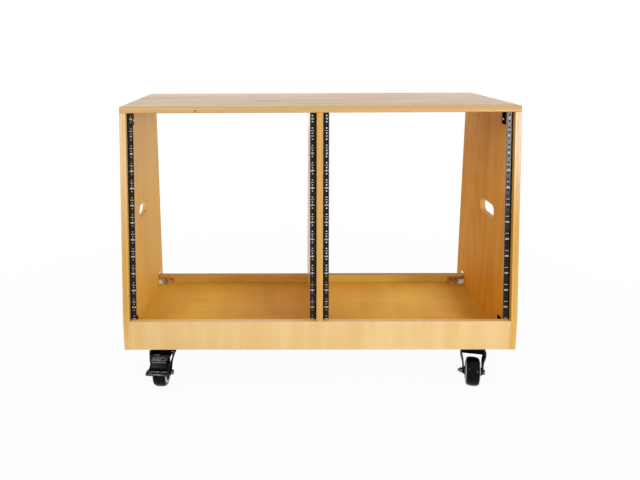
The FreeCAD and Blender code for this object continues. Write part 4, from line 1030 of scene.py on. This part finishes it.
ring = mirrored([(6.06, 22.1), (9.6, 22.1), (10.7, 21.4), (11, 20), (11.2, 9.2), (12.4, 7.4), (14.2, 6.9), (19.4, 8.2),
                 (20.4, 11), (21.2, 16.9), (22.0, 18.0), (23.6, 18.5), (25.4, 18.3), (26.6, 17.6), (27.4, 16.7),
                 (28.05, 15.6)])
parts = [lathe(ring, 96)]
for rib in range(RIBS):
    for side in (-1, 1):
        loop = pressed_loop([(10.6, 6), (20.9, 6), (20.9, 14.8), (10.6, 17.2)], 0.8, 3)
        plate = sawn([(loop, 0.4 * MM)], -1.2 * MM, 1.2 * MM, steps=2)
        moved(plate, lambda out, up, thick: (out, thick, up * side))
        plate.transform(Matrix.Rotation(2 * math.pi / RIBS * rib, 4, "Z"))
        parts.append(plate)
fit_under_all("grey_core", joined(*parts), grey_core, "wheel", "wheel_core", at_the_axle)


# Axles: a zinc-plated bolt through each fork with a hexagon head on the
# right, a locking nut with a round collar on the left, and the end of the
# thread proud of the nut. The steel bush it clamps is hidden in the hub.

HEX_FLATS = 13
THREAD_TURNS = 4
THREAD_PITCH = 1.25

# The zinc is given a dark colour: a painted dark reflection, standing in for dim surroundings mirrored in the plating.
zinc_with_painted_dark_reflection = two_tone("zinc_with_painted_dark_reflection", (160.0, 4, 0.6), ((0.26, 0.26, 0.27), (0.07, 0.07, 0.07)), (0.2, 0.34),
                       bump=(0.1, 0.08), Metallic=1.0)


def hexagon():
    reach = HEX_FLATS / 2 / math.cos(math.pi / 6)
    turns = [math.pi / 3 * place for place in range(6)]
    return pressed_loop([(reach * math.cos(turn), reach * math.sin(turn)) for turn in turns], 0.5, 2)


shaft = [(0, 25.5), (4, 25.5), (4, -31.5)]
for thread in range(THREAD_TURNS):
    start = -31.9 - thread * THREAD_PITCH
    shaft += [(3.55, start), (4.0, start - 0.55), (4.0, start - 0.7)]
shaft += [(3.3, -36.9), (0, -36.95)]
head = sawn([(hexagon(), 0.9 * MM)], 25 * MM, 31.5 * MM)
crown = lathe([(0, 31.5), (4.2, 31.5), (4.6, 31.3), (4.6, 31.0), (0, 31.0)], 32)
fit_under_all("hex_bolt", joined(lathe(shaft, 32), head, crown), zinc_with_painted_dark_reflection, "swivel", "axle_bolt",
              at_the_axle)

nut = sawn([(hexagon(), 0.6 * MM), (bored(0, 0, 4.06, 24), 0.3 * MM)], -31.2 * MM, -25 * MM)
collar = lathe([(4.1, -31), (6, -31), (6, -32.2), (5.6, -32.9), (4.9, -33), (4.1, -32.8)], 48)
fit_under_all("lock_nut", joined(nut, collar), zinc_with_painted_dark_reflection, "swivel", "axle_nut", at_the_axle)
for corner, turn, braked in CASTERS:
    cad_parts[corner + "_axle_bush"].material_slots[0].material = zinc_with_painted_dark_reflection


# Brake pedals: black pressed steel over the front of the braked wheels, hung
# on a cross pin between the fork's legs. The pan is crowned at the top with a
# raised frame to tread on, flares to a lip, and has a shoe behind it. Down the
# pan, each station gives back, up, half width and how far the flank turns in.

PEDAL_SHEET = 2.0
PEDAL_HALF = 23.4
PEDAL_STATIONS = (
    (-40.0, 91.6, 22.4, 4.0), (-45.5, 92.8, 23.2, 5.5), (-50.0, 92.2, 23.4, 6.0), (-53.2, 89.2, 23.4, 6.0),
    (-57.4, 83.0, 23.4, 6.0), (-62.2, 75.8, 23.4, 6.0), (-67.0, 68.6, 23.4, 5.0), (-70.2, 64.2, 23.9, 3.6),
    (-72.6, 62.2, 25.2, 2.0), (-75.2, 60.8, 28.2, 1.4), (-78.0, 58.0, 30.4, 1.2), (-81.2, 53.9, 31.0, 1.2),
    (-83.6, 50.9, 31.0, 1.2), (-84.0, 49.5, 30.6, 1.0), (-83.3, 48.6, 29.8, 0.8),
)
PEDAL_COLUMNS = (-1.0, -0.96, -0.8, -0.5, -0.2, 0.2, 0.5, 0.8, 0.96, 1.0)
PEDAL_CROWN = 0.5
PEDAL_EDGE_DROP = 0.9
PEDAL_FLANK_BEND = 1.4
FRAME_WIDTH = 1.9


def pedal_pan():
    """The pan's upper face, a row of points to each station, then thickened and
    rounded as one sheet."""
    mesh = bmesh.new()
    rows = []
    for place, (back, up, half, turned_in) in enumerate(PEDAL_STATIONS):
        before = PEDAL_STATIONS[max(place - 1, 0)]
        after = PEDAL_STATIONS[min(place + 1, len(PEDAL_STATIONS) - 1)]
        run = Vector((after[0] - before[0], after[1] - before[1])).normalized()
        inward = Vector((-run.y, run.x))
        drops = [PEDAL_CROWN * column ** 2 + (PEDAL_EDGE_DROP if abs(column) == 1.0 else 0.0)
                 for column in PEDAL_COLUMNS]
        flank = turned_in + PEDAL_FLANK_BEND
        spots = [(-1, flank), *zip(PEDAL_COLUMNS, drops), (1, flank)]
        rows.append([mesh.verts.new(Vector((half * column, back + inward.x * drop, up + inward.y * drop)) * MM)
                     for column, drop in spots])
    for lower, upper in zip(rows, rows[1:]):
        for here in range(len(lower) - 1):
            mesh.faces.new((lower[here], lower[here + 1], upper[here + 1], upper[here]))
    bmesh.ops.recalc_face_normals(mesh, faces=mesh.faces)
    sheet = bpy.data.meshes.new("pan")
    mesh.to_mesh(sheet)
    holder = bpy.data.objects.new("pan", sheet)
    bpy.context.scene.collection.objects.link(holder)
    thick = holder.modifiers.new("sheet", "SOLIDIFY")
    thick.thickness = PEDAL_SHEET * MM
    thick.offset = -1
    thick.use_even_offset = True
    holder.modifiers.new("pressed", "SUBSURF").levels = 2
    bpy.context.view_layer.update()
    pressed = bpy.data.meshes.new_from_object(holder.evaluated_get(bpy.context.evaluated_depsgraph_get()))
    mesh.clear()
    mesh.from_mesh(pressed)
    bpy.data.objects.remove(holder)
    bpy.data.meshes.remove(pressed)
    return mesh


def on_pan(run, rise):
    """The point so far down the pan's slope and so far out from it."""
    for here, after in zip(PEDAL_STATIONS, PEDAL_STATIONS[1:]):
        start = Vector(here[:2])
        slope = Vector(after[:2]) - start
        if run <= slope.length:
            break
        run -= slope.length
    slope.normalize()
    return start + slope * run + Vector((slope.y, -slope.x)) * rise


def raised_frame(half_width, half_height, middle, ribs):
    """A pressed frame centred so far down the pan: a rounded rectangle with a
    sunken middle. Ribs across it are given as place and half width."""
    def block(width, height, radius):
        corners = [(-width, -height), (width, -height), (width, height), (-width, height)]
        return [spot * MM for spot in eased(corners, radius, 5)]

    hollow = block(half_width - FRAME_WIDTH, half_height - FRAME_WIDTH, 1.6)
    ridge = sawn([(block(half_width, half_height, 2.6), 0.6 * MM), (hollow[::-1], 0.4 * MM)], -1.6 * MM, 1.2 * MM)
    parts = [ridge, sawn([(block(half_width - 1, half_height - 1, 2), 0.1 * MM)], -1.6 * MM, 0.25 * MM, steps=1)]
    for place, width in ribs:
        loop = [spot + Vector((0, place * MM)) for spot in block(width, 0.7, 0.4)]
        parts.append(sawn([(loop, 0.3 * MM)], -1.0 * MM, 1.0 * MM, steps=2))
    mesh = scored(joined(*parts), (0, 1, 0), [step * MM for step in range(-9, 15)])

    def pressed(side, down, rise):
        spot = on_pan(middle + down / MM, rise / MM - PEDAL_CROWN * (side / MM / PEDAL_HALF) ** 2) * MM
        return -side, spot.x, spot.y

    return moved(mesh, pressed)


def pedal_ear(side):
    corners = [(-16, 88.2), (-17, 81), (-23.5, 78), (-50.5, 76.4), (-56, 80.5), (-50.5, 89.2), (-40, 90.2), (-22, 89.8)]
    cuts = [(pressed_loop(corners, 3, 4), 0.4 * MM), (bored(PIN_BACK, PIN_UP, PIN_HOLE, 24), 0.3 * MM)]
    ear = set_up(sawn(cuts, 20.8 * MM, 23.3 * MM, steps=2), "X")
    wing = pressed_loop([(66, 21), (88, 21), (88, 27), (72, 27), (66, 24.5)], 1.2, 3)
    mesh = joined(ear, set_up(sawn([(wing[::-1], 0.4 * MM)], -51.5 * MM, -49.3 * MM, steps=2), "Y"))
    return moved(mesh, lambda across, back, up: (across * side, back, up))


def brake_shoe():
    """The plate between the pedal's ears that comes down on the tyre, and the
    sleeve round the cross pin that it is welded to."""
    loop = pressed_loop([(-46.5, 88.2), (-30, 78.4), (-27.5, 79.4), (-28, 82), (-44, 91.4)], 0.8, 3)
    plate = sawn([(loop, 0.4 * MM)], -21 * MM, 21 * MM, steps=2)
    round_it, bore = [bored(PIN_BACK, PIN_UP, radius, 28) for radius in (5.7, PIN_HOLE)]
    sleeve = sawn([(round_it[::-1], 0.4 * MM), (bore, 0.3 * MM)], -20.9 * MM, 20.9 * MM, steps=2)
    return set_up(joined(plate, sleeve), "X")


tread = raised_frame(21.6, 7.4, 17.4, ((-2.2, 15.5), (0, 15.5), (2.2, 15.5), (12.2, 19.5)))
lip = raised_frame(28.6, 5.2, 58.2, ())
mesh = joined(pedal_pan(), tread, lip, brake_shoe(), pedal_ear(-1), pedal_ear(1))
fit_under_all("foot_pedal", mesh, black_steel, "pedal", "brake_pedal", braked=True, flat_faced=False)

pin = lathe(mirrored([(0, -32.4), (2.6, -32.35), (4.1, -31.9), (4.4, -31.3), (4.2, -31.02), (3, -31.0)]), 32)
at_the_pin = Matrix.Translation((0, PIN_BACK * MM, PIN_UP * MM)) @ Matrix.Rotation(math.pi / 2, 4, "Y")
fit_under_all("cross_pin", pin, powder, "swivel", "pedal_pin", at_the_pin, braked=True, flat_faced=False)


# Studio: a plain pale floor that runs out to white, a large soft lamp to the
# right of the camera, a weaker one to the left, one behind, and a white room.

FLOOR_REACH = 14.0
ROOM_STRENGTH = 0.67


def in_plain_sight(finish):
    """One for rays that see a thing straight or in a sheen, else none."""
    rays = finish.step("LightPath", {}).outputs
    in_sheen = finish.sum("MAXIMUM", rays["Is Glossy Ray"], rays["Is Transmission Ray"])
    return finish.sum("MAXIMUM", rays["Is Camera Ray"], in_sheen)


mesh = bmesh.new()
mesh.faces.new([mesh.verts.new((x * FLOOR_REACH, y * FLOOR_REACH, 0)) for x, y in ((-1, -1), (1, -1), (1, 1), (-1, 1))])
floor_shape = bpy.data.meshes.new("studio_floor")
mesh.to_mesh(floor_shape)
mesh.free()
studio_floor = bpy.data.objects.new("studio_floor", floor_shape)
bpy.context.scene.collection.objects.link(studio_floor)

finish = Finish("white_paper")
tooth = finish.between(finish.cloud(finish.spot(), 400.0, 2, 0.5), 0.3, 0.7)
spot = finish.places()
squared_y = finish.sum("MULTIPLY", spot["Y"], spot["Y"])
away = finish.sum("SQRT", finish.sum("MULTIPLY_ADD", spot["X"], spot["X"], squared_y))
share = finish.sum("MULTIPLY", in_plain_sight(finish), finish.between(away, 0.6, 1.8, 0.95, 1.0))
glow = finish.step("Emission", {"Color": paint(1, 1, 1), "Strength": 1.0})
blend = finish.step("MixShader", {0: share, 1: finish.surface.outputs[0], 2: glow.outputs[0]})
finish.feed(finish.nodes["Material Output"].inputs["Surface"], blend.outputs[0])
floor_shape.materials.append(finish.give(
    Base_Color=finish.mix(tooth, paint(0.90, 0.90, 0.90), paint(0.87, 0.87, 0.87)), Roughness=0.9,
    Specular_IOR_Level=0.1))

room = Finish("white_room", bpy.data.worlds)
strength = room.between(in_plain_sight(room), 0, 1, ROOM_STRENGTH, 1.0)
bpy.context.scene.world = room.give(Color=paint(1, 1, 1), Strength=strength)

for name, spot, aim, width, height, power in (
    ("right_soft_lamp", (1.42, -2.5, 1.0), (0, 0, 0.4), 0.5, 0.8, 25),
    ("left_soft_lamp", (-1.5, -2.2, 2.1), (0, 0, 0.3), 0.5, 0.5, 14.6),
    ("rear_soft_lamp", (0, 2.4, 1.0), (0, 0, 0.4), 3.0, 1.4, 11.6),
):
    lamp = bpy.data.lights.new(name, "AREA")
    lamp.shape = "RECTANGLE"
    lamp.size = width
    lamp.size_y = height
    lamp.energy = power
    holder = bpy.data.objects.new(name, lamp)
    holder.location = spot
    holder.rotation_euler = (Vector(aim) - Vector(spot)).to_track_quat("-Z", "Y").to_euler()
    bpy.context.scene.collection.objects.link(holder)


# Camera: in front, left of the middle and above the top board, looking
# slightly down, with the shift that puts the stand where the picture has it.

CAMERA_SPOT = Vector((-0.112, -1.795, 0.888))
YAW = math.radians(-0.45)
PITCH = math.radians(10.9)
ROLL = math.radians(-0.27)
SENSOR_WIDTH = 36
FOCAL_LENGTH = 36.38
SHIFT_ACROSS = 0.0767
SHIFT_UP = -0.1133

forward = Vector((math.sin(YAW) * math.cos(PITCH), math.cos(YAW) * math.cos(PITCH), -math.sin(PITCH)))
level_right = Vector((math.cos(YAW), -math.sin(YAW), 0))
level_up = level_right.cross(forward)
right = level_right * math.cos(ROLL) + level_up * math.sin(ROLL)
upward = level_up * math.cos(ROLL) - level_right * math.sin(ROLL)
lens = bpy.data.cameras.new("studio_camera")
lens.sensor_width = SENSOR_WIDTH
lens.lens = FOCAL_LENGTH
lens.shift_x = SHIFT_ACROSS
lens.shift_y = SHIFT_UP
camera = bpy.data.objects.new("studio_camera", lens)
turned = Matrix((right, upward, -forward)).transposed().to_4x4()
camera.matrix_world = Matrix.Translation(CAMERA_SPOT) @ turned
bpy.context.scene.collection.objects.link(camera)
bpy.context.scene.camera = camera
bpy.context.scene.view_settings.view_transform = "Standard"
